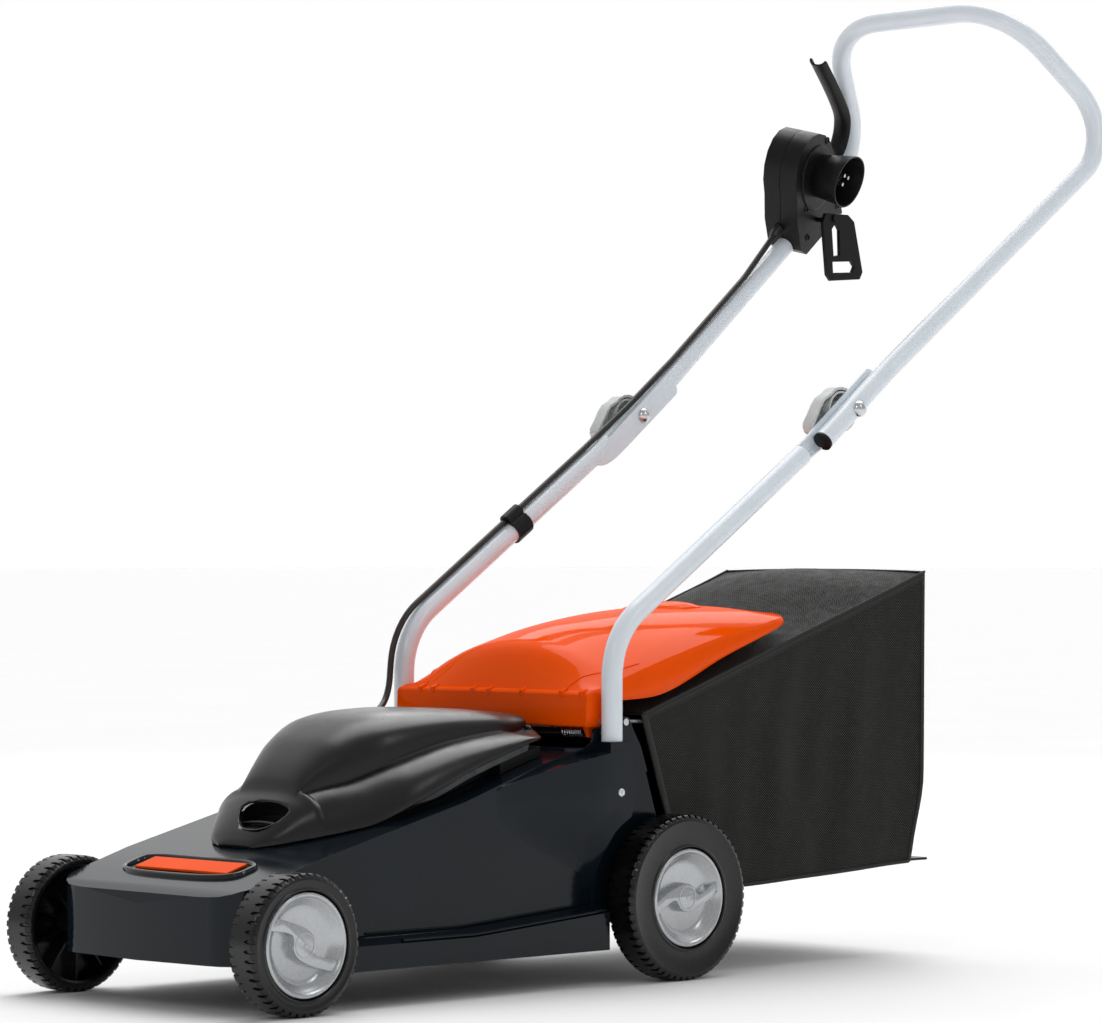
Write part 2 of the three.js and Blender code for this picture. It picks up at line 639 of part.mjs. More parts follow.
function bagRing([yTop, seam, crown, yLow, low, half], shrink, slideY = 0) {
  const [w, top, bottom] = [half - shrink, seam - shrink, low + shrink];
  const at = (x, z) => {
    const share = (z - bottom) / (top - bottom);
    return [x, yLow + (yTop - yLow) * Math.min(share, 1) + slideY, z];
  };
  const right = [[w, top], [0.75 * w, top + 0.5 * crown], [0.35 * w, top + 0.95 * crown]];
  const left = right.map(([x, z]) => [-x, z]).reverse();
  const middle = (top + bottom) / 2;
  return [[-w, bottom], [w, bottom], [w, middle], ...right, ...left, [-w, middle]].map(([x, z]) => at(x, z));
}

function grassBag() {
  const last = BAG_STATIONS.length - 1;
  const outside = loft(BAG_STATIONS.map((station) => bagRing(station, 0)));
  const inside = loft(BAG_STATIONS.map((station, i) => {
    const shift = (i === 0 ? -6 : 0) - (i === last ? BAG_WALL : 0);
    return bagRing(station, BAG_WALL, shift);
  }));
  const lip = block(-152, 152, 683, 698, 104, 107);
  return join(cut(outside, inside), lip);
}

function rodBetween(a, b, radius, sides = 6) {
  const span = b.clone().sub(a);
  const bar = new THREE.CylinderGeometry(radius, radius, span.length(), sides);
  bar.applyQuaternion(new THREE.Quaternion().setFromUnitVectors(AXES.y, span.clone().normalize()));
  const middle = a.clone().add(b).multiplyScalar(0.5);
  return bar.translate(middle.x, middle.y, middle.z);
}

function bagFrame() {
  const half = 137;
  const mouthY = (z) => 246 + (279 - z) * 0.337 + 9;
  const [low, high] = [99, 271];
  const corner = (side, z) => point(side * half, mouthY(z), z);
  const hook = [
    [262, 266], [262, 273], [245, 275.8], [236, 284], [212, 284], [212, 276.6], [221, 276.6], [224, 271], [248, 266],
  ];
  const rearY = 674;
  const rearZ = high + (rearY - mouthY(high)) * 0.3355 - 2;
  const bars = [1, -1].flatMap((side) => [
    rodBetween(corner(side, low - 2), corner(side, high + 2), FRAME_ROD),
    rodBetween(corner(side, high), point(side * (half + 5), rearY, rearZ), FRAME_ROD),
    sidePlate(hook, side * 100 - 4, side * 100 + 4),
  ]);
  return join(
    ...bars,
    rod('x', FRAME_ROD, -half - 2, half + 2, [0, mouthY(low), low], 6),
    rod('x', FRAME_ROD, -half - 2, half + 2, [0, mouthY(high), high], 6),
    rod('x', FRAME_ROD, -half - 6, half + 6, [0, rearY, rearZ], 6),
  );
}

add('grass_bag', grassBag(), meshFabric());
add('bag_frame', bagFrame(), steel());

// ---- lower handle -------------------------------------------------------------------------
const LOWER_SLOPE = THREE.MathUtils.degToRad(33.7);
const UPPER_SLOPE = THREE.MathUtils.degToRad(37.4);
const TROUGH = [92, 62]; // along the lower tube, before the joint bolt
const PLATE_X = [153.4, 156.4]; // flattened end of the lower tube
const JOINT_BOLT_RADIUS = 4;
const CABLE_RADIUS = 3.5;
const CABLE_LIFT = TUBE_RADIUS + CABLE_RADIUS + 0.5; // cable axis in front of the tube's axis
const CLIP_BEFORE_JOINT = 233;

// A point near the left joint: s along the handle, n in front of and above it.
function nearJoint(slope, s, n, x) {
  return point(
    x,
    JOINT.y + s * Math.cos(slope) - n * Math.sin(slope),
    JOINT.z + s * Math.sin(slope) + n * Math.cos(slope),
  );
}

// A block measured along the handle and square to it.
function handleBlock(slope, x0, x1, s0, s1, n0, n1) {
  return block(x0, x1, s0, s1, n0, n1).rotateX(slope).translate(0, JOINT.y, JOINT.z);
}

function lowerTube() {
  const corner = point(LOWER_TUBE_X, LOWER_TUBE_Y, JOINT.z - (JOINT.y - LOWER_TUBE_Y) * Math.tan(LOWER_SLOPE));
  const end = nearJoint(LOWER_SLOPE, -TROUGH[1], 0, 164);
  const path = new BentPath([point(LOWER_TUBE_X, LOWER_TUBE_Y, SOCKET_FLOOR + GAP), corner, end], [84]);
  const pipe = cut(
    tube(path, TUBE_RADIUS, TUBE_RADIUS - TUBE_WALL),
    handleBlock(LOWER_SLOPE, 160, 190, -TROUGH[0], 0, -30, 30),
    rod('x', HANDLE_SCREW_RADIUS + GAP, 100, LOWER_TUBE_X, [0, LOWER_TUBE_Y, HANDLE_SCREW_Z], 10),
  );
  const [inner, outer] = PLATE_X;
  const plate = handleBlock(UPPER_SLOPE, inner, outer, -74, 62, -12.5, 12.5);
  const lips = [
    handleBlock(UPPER_SLOPE, inner, 166, -62, -46, 11.7, 13.2),
    handleBlock(UPPER_SLOPE, inner, 166, 46, 62, -13.2, -11.7),
  ];
  return cut(join(pipe, plate, ...lips),
    rod('x', JOINT_BOLT_RADIUS + GAP, 140, 170, [0, JOINT.y, JOINT.z], 12));
}

// From inside the chute, through the deck wall, into the tube.
function handleScrew() {
  const wall = DECK_HALF - WALL;
  const profile = [
    [0, wall - GAP - 3], [4, wall - GAP - 3], [4, wall - GAP], [HANDLE_SCREW_RADIUS, wall - GAP],
    [HANDLE_SCREW_RADIUS, wall + 10], [0, wall + 10],
  ];
  return turned(profile, 'x', [0, LOWER_TUBE_Y, HANDLE_SCREW_Z], 10);
}

addPair('handle_lower', lowerTube, paleTube);
addPair('handle_screw', handleScrew, steel);

// ---- motor cable --------------------------------------------------------------------------
const CABLE_BREAK = 90; // the flexible stretch runs this far to both sides of the joint
const GROMMET = new THREE.Vector3(-94, 120, 273);
const onRight = (vector) => point(-vector.x, vector.y, vector.z);

function cableClip() {
  const centre = nearJoint(LOWER_SLOPE, -CLIP_BEFORE_JOINT, 0, -162.6);
  const shape = (radius, n, from = -12, to = 12) => rod('y', radius, from, to, [0, 0, n], 16)
    .rotateX(LOWER_SLOPE).translate(centre.x, centre.y, centre.z);
  return cut(
    join(shape(14.3, 0), shape(7.6, CABLE_LIFT)),
    shape(TUBE_RADIUS + 3 * GAP, 0, -20, 20),
    shape(CABLE_RADIUS + 4 * GAP, CABLE_LIFT, -20, 20),
  );
}

function lowerCable() {
  const slopeTop = nearJoint(LOWER_SLOPE, -CABLE_BREAK - GAP, CABLE_LIFT, -164);
  const frontY = LOWER_TUBE_Y - CABLE_LIFT;
  const cornerZ = slopeTop.z - (slopeTop.y - frontY) * Math.tan(LOWER_SLOPE);
  const corners = [
    slopeTop,
    point(-LOWER_TUBE_X - 1, frontY, cornerZ),
    point(-158, 158, 292),
    point(-140, GROMMET.y, GROMMET.z),
    point(GROMMET.x - 1.5, GROMMET.y, GROMMET.z),
  ];
  return tube(new BentPath(corners, [95, 40, 22]), CABLE_RADIUS, 0, 8);
}

function cableGrommet() {
  const ring = [[CABLE_RADIUS + GAP, -4], [8, -4], [8, 3], [6, 7], [CABLE_RADIUS + GAP, 7]];
  return turned(ring.map(([r, h]) => [r, -h]), 'x', [GROMMET.x - 1.5, GROMMET.y, GROMMET.z], 14);
}

function upperCable() {
  const start = nearJoint(UPPER_SLOPE, CABLE_BREAK + GAP, CABLE_LIFT, -168);
  const end = inSwitchFrame(BOX_FOOT - 1, 26, -4);
  const middle = inSwitchFrame(BOX_FOOT - 90, CABLE_LIFT + 1, -2);
  return tube(new BentPath([start, middle, end], [120], 2), CABLE_RADIUS, 0, 8);
}

function flexCable() {
  const ends = [
    nearJoint(LOWER_SLOPE, -CABLE_BREAK, CABLE_LIFT, -164.5),
    nearJoint(UPPER_SLOPE, CABLE_BREAK, CABLE_LIFT, -168),
  ];
  const bow = nearJoint((LOWER_SLOPE + UPPER_SLOPE) / 2, 0, CABLE_LIFT + 1.5, -166);
  return tube(new BentPath([ends[0], bow, ends[1]], [150], 2), CABLE_RADIUS, 0, 8);
}

// ---- upper handle -------------------------------------------------------------------------
const STRAIGHT_END = 70; // the tubes start to spread this far above the joint

const spreadStart = nearJoint(UPPER_SLOPE, STRAIGHT_END, 0, JOINT.x);

function upperHandle() {
  const left = [nearJoint(UPPER_SLOPE, 3 - UPPER_TUBE_TAIL, 0, JOINT.x), spreadStart, ELBOW, CROSSBAR_END];
  const corners = [...left, ...left.slice().reverse().map(onRight)];
  const path = new BentPath(corners, [300, 69, 99, 99, 69, 300], 3);
  return cut(
    tube(path, TUBE_RADIUS, TUBE_RADIUS - TUBE_WALL),
    rod('x', JOINT_BOLT_RADIUS + GAP, -190, 190, [0, JOINT.y, JOINT.z], 12),
  );
}

function tubePlug() {
  const inner = TUBE_RADIUS - TUBE_WALL - 3 * GAP;
  const profile = [[0, 0], [TUBE_RADIUS, 0], [TUBE_RADIUS, 2.4], [inner, 2.4], [inner, 14], [0, 14]];
  const end = nearJoint(UPPER_SLOPE, -UPPER_TUBE_TAIL, 0, JOINT.x);
  return turned(profile, 'y', [0, 0, 0], 12).rotateX(UPPER_SLOPE).translate(end.x, end.y, end.z);
}

const KNOB_DEPTH = 15;
const KNOB_WALL = 3;
const KNOB_HUB = 25; // radius of the knob's round middle
const KNOB_BORE = 11;
const KNOB_TILT = THREE.MathUtils.degToRad(11); // how far the long wing points above the tube

// The bolt's dome head points to the machine's left on both sides; its other end is in the knob.
function jointBolt(headFace, knobFace) {
  const end = knobFace - KNOB_BORE + 0.5;
  return turned([
    [0, headFace + 6.5], [4.5, headFace + 5.5], [8, headFace + 2.5], [9, headFace],
    [JOINT_BOLT_RADIUS, headFace], [JOINT_BOLT_RADIUS, end], [0, end],
  ], 'x', [0, JOINT.y, JOINT.z], 14);
}

// Seen along the bolt: a round middle with a long tapered wing and a short one opposite.
function knobOutline(inset) {
  const half = [[inset - 38, 4], [0.8 * inset - 35, 8.5 - inset], [-24, 11.5 - inset]];
  for (let angle = 150; angle >= 70; angle -= 16) {
    const turn = THREE.MathUtils.degToRad(angle);
    half.push([(KNOB_HUB - inset) * Math.cos(turn), (KNOB_HUB - inset) * Math.sin(turn)]);
  }
  half.push([20, 23.5 - inset], [29, 19.5 - inset], [39, 13 - inset], [49 - inset, 7.5 - inset], [52 - inset, 3]);
  const outline = [...half, ...half.map(([u, w]) => [u, -w]).reverse()];
  const [c, s] = [Math.cos(KNOB_TILT), Math.sin(KNOB_TILT)];
  return outline.map(([u, w]) => [w * s - u * c, u * s + w * c]);
}

function wingKnob(face) {
  const back = face - KNOB_DEPTH;
  const centre = [0, 0, 0];
  const bowl = cut(
    sidePlate(knobOutline(0), back, face),
    sidePlate(knobOutline(KNOB_WALL), back + KNOB_WALL, face + 1),
  );
  const ring = cut(rod('x', 20.5, back + 1, face, centre, 24), rod('x', 18.2, back, face + 1, centre, 24));
  const boss = rod('x', 10, back + 1, face, centre, 20);
  const bore = rod('x', JOINT_BOLT_RADIUS + GAP, face - KNOB_BORE, face + 1, centre, 14);
  return cut(join(bowl, ring, boss), bore).rotateX(UPPER_SLOPE).translate(0, JOINT.y, JOINT.z);
}

// ---- switch box ---------------------------------------------------------------------------
// The box has its own frame on the right tube: a runs up the tube, b to its front and above,
// c towards the middle of the machine, where the plug inlet faces.
const BOX_FOOT = 348;
const BOX_HALF = 23;
const INLET = [412, 66];
const SWITCH_PIVOT = [424, 45];
const BUTTON = [398, 84];

const HANGER_PIN = new THREE.Vector3(-140, 862, 851);

const switchFrame = (() => {
  const a = onRight(ELBOW).sub(onRight(spreadStart)).normalize();
  const c = point(Math.cos(0.35), 0.606 * Math.sin(0.35), -0.795 * Math.sin(0.35));
  c.addScaledVector(a, -c.dot(a)).normalize();
  const b = c.clone().cross(a);
  const origin = onRight(spreadStart).addScaledVector(a, -STRAIGHT_END);
  return new THREE.Matrix4().makeBasis(a, b, c).setPosition(origin);
})();

function inSwitchFrame(a, b, c) {
  return point(a, b, c).applyMatrix4(switchFrame);
}

const onHandle = (geometry) => geometry.applyMatrix4(switchFrame);

// D-shaped outline: straight foot and clamp side, round nose. Inset makes the inside.
function boxOutline(inset) {
  const nose = [402, 72];
  const radius = 54 - inset;
  const outline = [[BOX_FOOT + 10 + inset, -14 + inset], [448 - inset, -14 + inset]];
  for (let k = 0; k <= 10; k += 1) {
    const angle = THREE.MathUtils.degToRad(-16 + 20 * k);
    outline.push([nose[0] + radius * Math.cos(angle) * 0.86, nose[1] + radius * Math.sin(angle)]);
  }
  outline.push([BOX_FOOT + inset, 36], [BOX_FOOT + inset, -2 + inset]);
  return outline;
}

function boxHalf(c0, c1, inner0, inner1) {
  const shell = cut(floorPlate(boxOutline(0), c0, c1), cut(
    floorPlate(boxOutline(WALL), inner0, inner1),
    block(300, 500, -30, 15, -40, 40),
  ));
  return cut(shell,
    rod('x', TUBE_RADIUS + GAP, 300, 500, [0, 0, 0], 16),
    block(SWITCH_PIVOT[0] + 2, 470, SWITCH_PIVOT[1] - 9, SWITCH_PIVOT[1] + 9, -13, 13));
}

function switchHousing() {
  const body = boxHalf(-BOX_HALF, -GAP / 2, 3 - BOX_HALF, 40);
  return onHandle(cut(body, rod('z', 8.4, -30, 0, [...BUTTON, 0], 14)));
}

// The cover carries the pin that the cable hanger swings on.
function switchCover() {
  const { x, y, z } = HANGER_PIN;
  return join(
    onHandle(boxHalf(GAP / 2, BOX_HALF, -40, BOX_HALF - 3)),
    rod('x', 3, -172, x + 4, [0, y, z], 10),
    rod('x', 5, x + 2.8, x + 5, [0, y, z], 10),
  );
}

function plugInlet() {
  const face = BOX_HALF + GAP;
  const horn = turned([
    [25, face], [28, face + 42], [25.5, face + 42], [22.5, face + 3], [0, face + 3], [0, face],
  ].reverse(), 'z', [0, 0, 0], 20);
  return onHandle(horn.translate(...INLET, 0));
}

function inletPins() {
  const face = BOX_HALF + 3 + 2 * GAP;
  const pins = [[-7, 0], [7, 0], [0, 8]].map(([a, b]) => rod('z', 2.3, face + 1, face + 24, [a, b, 0], 8));
  return onHandle(join(rod('z', 14, face, face + 3, [0, 0, 0], 14), ...pins).translate(...INLET, 0));
}

const microSwitch = () => onHandle(block(372, 392, 40, 66, -9, 9));

function lockButton() {
  const profile = [[0, -7], [7.6, -7], [8, -6], [8, 8], [0, 8]];
  return onHandle(turned(profile, 'z', [...BUTTON, -BOX_HALF], 14));
}

// A grip bar bent in the plane of the tube, with a barrel on its pivot.
function switchLever() {
  const [a, b] = SWITCH_PIVOT;
  const bar = floorPlate([
    [a, b - 4], [494, b - 4], [500, 47], [511, 80], [474, 188], [467, 185], [502, 80], [492, 53], [a, b + 4],
  ], -10.5, 10.5);
  return onHandle(join(bar, rod('z', 6.5, -11, 11, [a, b, 0], 12)));
}

// A plate that hangs from its pin, with a long slot for the cord's loop and a wide one under it.
function cableHanger() {
  const { x, y, z } = HANGER_PIN;
  const plate = sidePlate([
    [841, 846], [846, 857], [886, 857], [897, 849], [912, 789], [907, 780], [855, 776], [848, 783],
  ], x - 2.5, x + 2.5);
  const longSlot = sidePlate([[857, 838], [861, 843], [866, 843], [870, 838], [871, 808], [860, 806]], x - 9, x + 9);
  const wideSlot = sidePlate([[858, 799], [892, 801], [897, 795], [893, 788], [859, 786]], x - 9, x + 9);
  return cut(plate, longSlot, wideSlot, rod('x', 3.4, x - 9, x + 9, [0, y, z], 10));
}

add('handle_upper', upperHandle(), paleTube());
addPair('tube_plug', tubePlug, blackPlastic);
const outerFace = JOINT.x + TUBE_RADIUS + GAP;
const innerFace = PLATE_X[0] - GAP;
add('joint_bolt_left', jointBolt(outerFace, innerFace), steel());
add('joint_bolt_right', jointBolt(-innerFace, -outerFace), steel());
add('wing_knob_left', wingKnob(innerFace), greyPlastic());
add('wing_knob_right', wingKnob(-outerFace), greyPlastic());
add('cable_clip', cableClip(), blackPlastic());
add('cable_lower', lowerCable(), cableRubber());
add('cable_grommet', cableGrommet(), cableRubber());
add('cable_flex', flexCable(), cableRubber());
add('cable_upper', upperCable(), cableRubber());
add('switch_housing', switchHousing(), blackPlastic());
add('switch_cover', switchCover(), blackPlastic());
add('plug_inlet', plugInlet(), blackPlastic());
add('inlet_pins', inletPins(), steel());
add('micro_switch', microSwitch(), blackPlastic());
add('lock_button', lockButton(), orangePlastic());
add('switch_lever', switchLever(), blackPlastic());
add('cable_hanger', cableHanger(), blackPlastic());

machine.position.set(-FOOTPRINT_CENTRE_X, -FOOTPRINT_CENTRE_Y, 0);
export default machine;
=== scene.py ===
"""Looks for a small electric rotary mower with a rear bag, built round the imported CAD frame.

Shapes are written in millimetres with y = 0 midway between the axles, x = 0 in the machine's
middle and z = 0 on the ground; place() turns that into the frame's metres.
"""

import json
import math

import bmesh
import bpy
from mathutils import Matrix, Vector

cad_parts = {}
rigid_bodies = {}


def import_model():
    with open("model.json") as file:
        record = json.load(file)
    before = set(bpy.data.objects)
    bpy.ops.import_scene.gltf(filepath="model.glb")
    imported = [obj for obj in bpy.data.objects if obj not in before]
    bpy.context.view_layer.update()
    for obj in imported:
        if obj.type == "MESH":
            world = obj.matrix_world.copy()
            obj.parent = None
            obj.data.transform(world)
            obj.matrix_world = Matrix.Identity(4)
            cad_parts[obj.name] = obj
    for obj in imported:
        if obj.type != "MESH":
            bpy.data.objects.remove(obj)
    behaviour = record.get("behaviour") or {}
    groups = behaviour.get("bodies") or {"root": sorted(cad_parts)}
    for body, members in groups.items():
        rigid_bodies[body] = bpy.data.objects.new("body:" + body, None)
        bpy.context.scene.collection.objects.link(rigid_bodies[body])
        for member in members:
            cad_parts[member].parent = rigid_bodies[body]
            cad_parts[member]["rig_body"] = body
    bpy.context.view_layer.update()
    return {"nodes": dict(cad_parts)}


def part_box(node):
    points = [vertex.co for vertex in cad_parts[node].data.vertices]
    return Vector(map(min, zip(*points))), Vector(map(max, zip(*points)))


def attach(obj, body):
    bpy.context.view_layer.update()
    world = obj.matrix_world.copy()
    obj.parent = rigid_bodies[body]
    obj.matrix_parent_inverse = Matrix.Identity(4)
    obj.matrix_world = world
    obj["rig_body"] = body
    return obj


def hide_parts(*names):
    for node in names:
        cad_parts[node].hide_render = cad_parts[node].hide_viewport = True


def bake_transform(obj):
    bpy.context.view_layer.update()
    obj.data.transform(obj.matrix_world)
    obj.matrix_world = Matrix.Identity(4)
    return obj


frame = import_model()

MM = 0.001
NODES = frame["nodes"]

# ---- driving dimensions, millimetres ------------------------------------------------------------
WHEELBASE = 532
WHEEL_FACE = 195
WHEEL_WIDTH = 38.5
FRONT_RADIUS = 70
REAR_RADIUS = 87
RIM_RADIUS = 51.8
HUB_FACE = 14

DECK_TOP = [
    (-322, 104), (-316, 114), (-300, 121), (-258, 133), (-213, 147), (-159, 160),
    (-77, 180), (-13, 197), (100, 233), (158, 246),
]

TUBE_RADIUS = 11.2
LOWER_TUBE_X = 161
LOWER_TUBE_Y = 184
TUBE_FOOT = 214.3
JOINT = Vector((168, 551, 608))
ELBOW = Vector((201.3, 979, 935.3))
CROSSBAR_END = Vector((133.6, 854.2, 1079.6))
LOWER_SLOPE = math.radians(33.7)
UPPER_SLOPE = math.radians(37.4)
TUBE_TAIL = 58
CABLE_RADIUS = 3.5
CABLE_LIFT = TUBE_RADIUS + CABLE_RADIUS + 0.5
GROMMET = Vector((-95.5, 120, 273))
BADGE_CENTRE = (0, -253)
PANEL_SCREW = (145, 209, 196)
SEAM_SCREW = (174.4, 184, 200)

# where the flap's rod lies in y and z, and how far from it the flap's front lip reaches
FLAP_HINGE = (182, 262)
FLAP_SWING = 49.5

# the camera's place in these millimetres, its axes in the frame and its lens
CAMERA_AT = (3399.456, -3056.189, 450.592)
CAMERA_RIGHT = Vector((0.697412, 0.716670, 0))
CAMERA_UP = Vector((0.00661, -0.006432, 0.999957))
CAMERA_LENS = 143.29

# y, half-width of the wing, height of its edge above the deck, half-width of the dome at its
# foot, height of the foot, height of the crown
COVER_STATIONS = [
    (-194, 26, 1, 14, 156, 157.5), (-187, 44, 1, 27, 167, 168.8), (-175, 58, 1, 36, 182, 184.2),
    (-161, 70, 1, 41, 196, 198.6), (-151, 79, 1, 44, 204, 207.5), (-143, 85, 1, 47, 208, 222),
    (-128, 96, 1, 54, 213, 240), (-102, 112, 2, 68, 220, 262), (-60, 127, 12, 83, 236, 281),
    (10, 131, 21, 89, 255, 288), (88, 131, 21, 89, 265, 286), (112, 129, 20, 88, 262.5, 284),
    (128, 108, 17, 86, 266, 282.5), (148, 84, 14, 82, 271, 280),
]

# y, half-width, height of the side's lower edge, height of the crown, shoulder below the crown
FLAP_FRONT = [
    (160, 146.4, 268, 271, 1), (161.2, 147, 268, 302, 1), (162.5, 147.4, 268, 304, 1.2),
    (167.5, 147.8, 268, 306, 1.8), (169, 147.9, 268, 309, 4), (176, 147.9, 268, 322, 17),
    (184, 147.9, 276, 338, 33), (190, 147.9, 292, 347.5, 43), (196, 147.9, 293, 353, 46.5),
]
FLAP_REAR = [
    (205, 147.9, 294, 356.5, 46.5), (276, 147.9, 301, 374, 42), (366, 147.9, 337, 386.5, 30),
    (455, 146, 368, 391.5, 16), (474, 136, 375, 389.5, 10), (482, 112, 379, 388, 5),
]

# y and height of the top seam, crown above the seam, y and height of the bottom, half-width
BAG_STATIONS = [
    (246, 279, 0.5, 309, 92, 144), (300, 297, 6, 352, 91.5, 145.5), (380, 324, 12, 403, 91, 147.5),
    (480, 357.5, 15, 490, 95, 149), (590, 394, 30, 590, 99.5, 150.5), (650, 414, 18, 648, 102.5, 151),
    (690, 428, 2, 686, 104, 152),
]


def frame_shift():
    """Where x = 0, y = 0 of these dimensions lies in the frame, from the wheels."""
    left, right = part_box("wheel_front_left"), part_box("wheel_front_right")
    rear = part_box("wheel_rear_left")
    x = (left[1].x + right[0].x) / 2
    y = (left[0].y + left[1].y + rear[0].y + rear[1].y) / 4
    return Vector((x, y, 0))


SHIFT = frame_shift()


def place(point):
    """A point in these millimetres, in the frame's metres."""
    return Vector(point) * MM + SHIFT


# ---- camera and light ---------------------------------------------------------------------------
def aim_camera():
    data = bpy.data.cameras.new("view")
    data.sensor_width = 36
    data.sensor_fit = "HORIZONTAL"
    data.lens = CAMERA_LENS
    data.clip_end = 250
    camera = bpy.data.objects.new("view", data)
    back = CAMERA_RIGHT.cross(CAMERA_UP)
    at = place(CAMERA_AT)
    rows = [(CAMERA_RIGHT[i], CAMERA_UP[i], back[i], at[i]) for i in range(3)]
    camera.matrix_world = Matrix((*rows, (0, 0, 0, 1)))
    bpy.context.scene.collection.objects.link(camera)
    bpy.context.scene.camera = camera


def softbox(name, at, target, size, power):
    data = bpy.data.lights.new(name, "AREA")
    data.shape = "RECTANGLE"
    data.size, data.size_y = size
    data.energy = power
    lamp = bpy.data.objects.new(name, data)
    lamp.location = at
    lamp.rotation_euler = (Vector(target) - Vector(at)).to_track_quat("-Z", "Y").to_euler()
    bpy.context.scene.collection.objects.link(lamp)


def studio_world():
    """A dim surround that brightens to white on the side behind the machine."""
    world = bpy.data.worlds.new("studio")
    world.use_nodes = True
    tree = world.node_tree
    direction = tree.nodes.new("ShaderNodeTexCoord").outputs["Generated"]
    towards = tree.nodes.new("ShaderNodeVectorMath")
    towards.operation = "DOT_PRODUCT"
    towards.inputs[1].default_value = (-0.70, 0.68, 0.22)
    tree.links.new(direction, towards.inputs[0])
    bright = tree.nodes.new("ShaderNodeMapRange")
    bright.interpolation_type = "SMOOTHSTEP"
    for name, number in (("From Min", 0.15), ("From Max", 0.75), ("To Min", 0.42), ("To Max", 1.0)):
        bright.inputs[name].default_value = number
    tree.links.new(towards.outputs["Value"], bright.inputs["Value"])
    tree.links.new(bright.outputs[0], tree.nodes["Background"].inputs["Strength"])
    tree.nodes["Background"].inputs["Color"].default_value = (1, 1, 1, 1)
    bpy.context.scene.world = world


def light_studio():
    studio_world()
    bpy.context.scene.view_settings.view_transform = "Standard"
    data = bpy.data.lights.new("sky_panel", "SUN")
    data.energy = 1.7
    data.angle = math.radians(50)
    sun = bpy.data.objects.new("sky_panel", data)
    sun.rotation_euler = (math.radians(-22), math.radians(-14), 0)
    bpy.context.scene.collection.objects.link(sun)
    softbox("key", (1.6, -3.4, 2.6), (0, 0, 0.3), (0.5, 0.9), 10)
    softbox("strip", (3.0, 0.6, 2.4), (0, 0, 0.3), (0.35, 1.6), 8)
    softbox("back", (-2.6, 2.9, 2.4), (0, -0.1, 0.2), (1.5, 1.3), 15)


# ---- procedural materials -----------------------------------------------------------------------
class Nodes:
    """Short calls for building one material's node tree."""

    def __init__(self, name):
        self.material = bpy.data.materials.new(name)
        self.material.use_nodes = True
        self.tree = self.material.node_tree
        self.shader = self.tree.nodes["Principled BSDF"]
        self.coordinates = self.tree.nodes.new("ShaderNodeTexCoord").outputs["Object"]

    def put(self, socket, value):
        if isinstance(value, bpy.types.NodeSocket):
            self.tree.links.new(value, socket)
        else:
            socket.default_value = value

    def math(self, operation, *values, clamp=False):
        node = self.tree.nodes.new("ShaderNodeMath")
        node.operation = operation
        node.use_clamp = clamp
        for socket, value in zip(node.inputs, values):
            self.put(socket, value)
        return node.outputs[0]

    def noise(self, scale, detail=3.0, stretch=None):
        node = self.tree.nodes.new("ShaderNodeTexNoise")
        node.inputs["Scale"].default_value = scale
        node.inputs["Detail"].default_value = detail
        vector = self.coordinates
        if stretch:
            mapping = self.tree.nodes.new("ShaderNodeMapping")
            mapping.inputs["Scale"].default_value = stretch
            self.put(mapping.inputs["Vector"], self.coordinates)
            vector = mapping.outputs[0]
        self.put(node.inputs["Vector"], vector)
        return node.outputs[0]

    def ranged(self, value, low, high, start=0.25, end=0.75):
        node = self.tree.nodes.new("ShaderNodeMapRange")
        for name, number in (("From Min", start), ("From Max", end), ("To Min", low), ("To Max", high)):
            node.inputs[name].default_value = number
        self.put(node.inputs["Value"], value)
        return node.outputs[0]

    def mixed(self, share, first, second):
        node = self.tree.nodes.new("ShaderNodeMix")
        node.data_type = "RGBA"
        colours = [socket for socket in node.inputs if socket.type == "RGBA"]
        self.put(node.inputs[0], share)
        self.put(colours[0], (*first, 1) if isinstance(first, tuple) else first)
        self.put(colours[1], (*second, 1) if isinstance(second, tuple) else second)
        return next(socket for socket in node.outputs if socket.type == "RGBA")

    def bumped(self, height, strength, distance):
        node = self.tree.nodes.new("ShaderNodeBump")
        node.inputs["Strength"].default_value = strength
        node.inputs["Distance"].default_value = distance
        self.put(node.inputs["Height"], height)
        self.put(self.shader.inputs["Normal"], node.outputs[0])

    def fixed(self, **values):
        for name, value in values.items():
            self.shader.inputs[name.replace("_", " ")].default_value = value


def surface(name, colour, roughness, spread=0.08, mottle=40, grain=1400, relief=0.00004,
            stretch=None, **fixed):
    """A finish with slight colour and gloss variation and a fine grain."""
    nodes = Nodes(name)
    darker = tuple(c * (1 - spread) for c in colour)
    lighter = tuple(min(1, c * (1 + spread)) for c in colour)
    broad = nodes.noise(mottle, 4, stretch)
    nodes.put(nodes.shader.inputs["Base Color"], nodes.mixed(nodes.ranged(broad, 0, 1), darker, lighter))
    nodes.put(nodes.shader.inputs["Roughness"],
              nodes.ranged(nodes.noise(mottle * 2.3, 5, stretch), roughness * 0.85, roughness * 1.15))
    if relief:
        nodes.bumped(nodes.noise(grain, 2, stretch), 0.6, relief)
    nodes.fixed(**fixed)
    return nodes.material


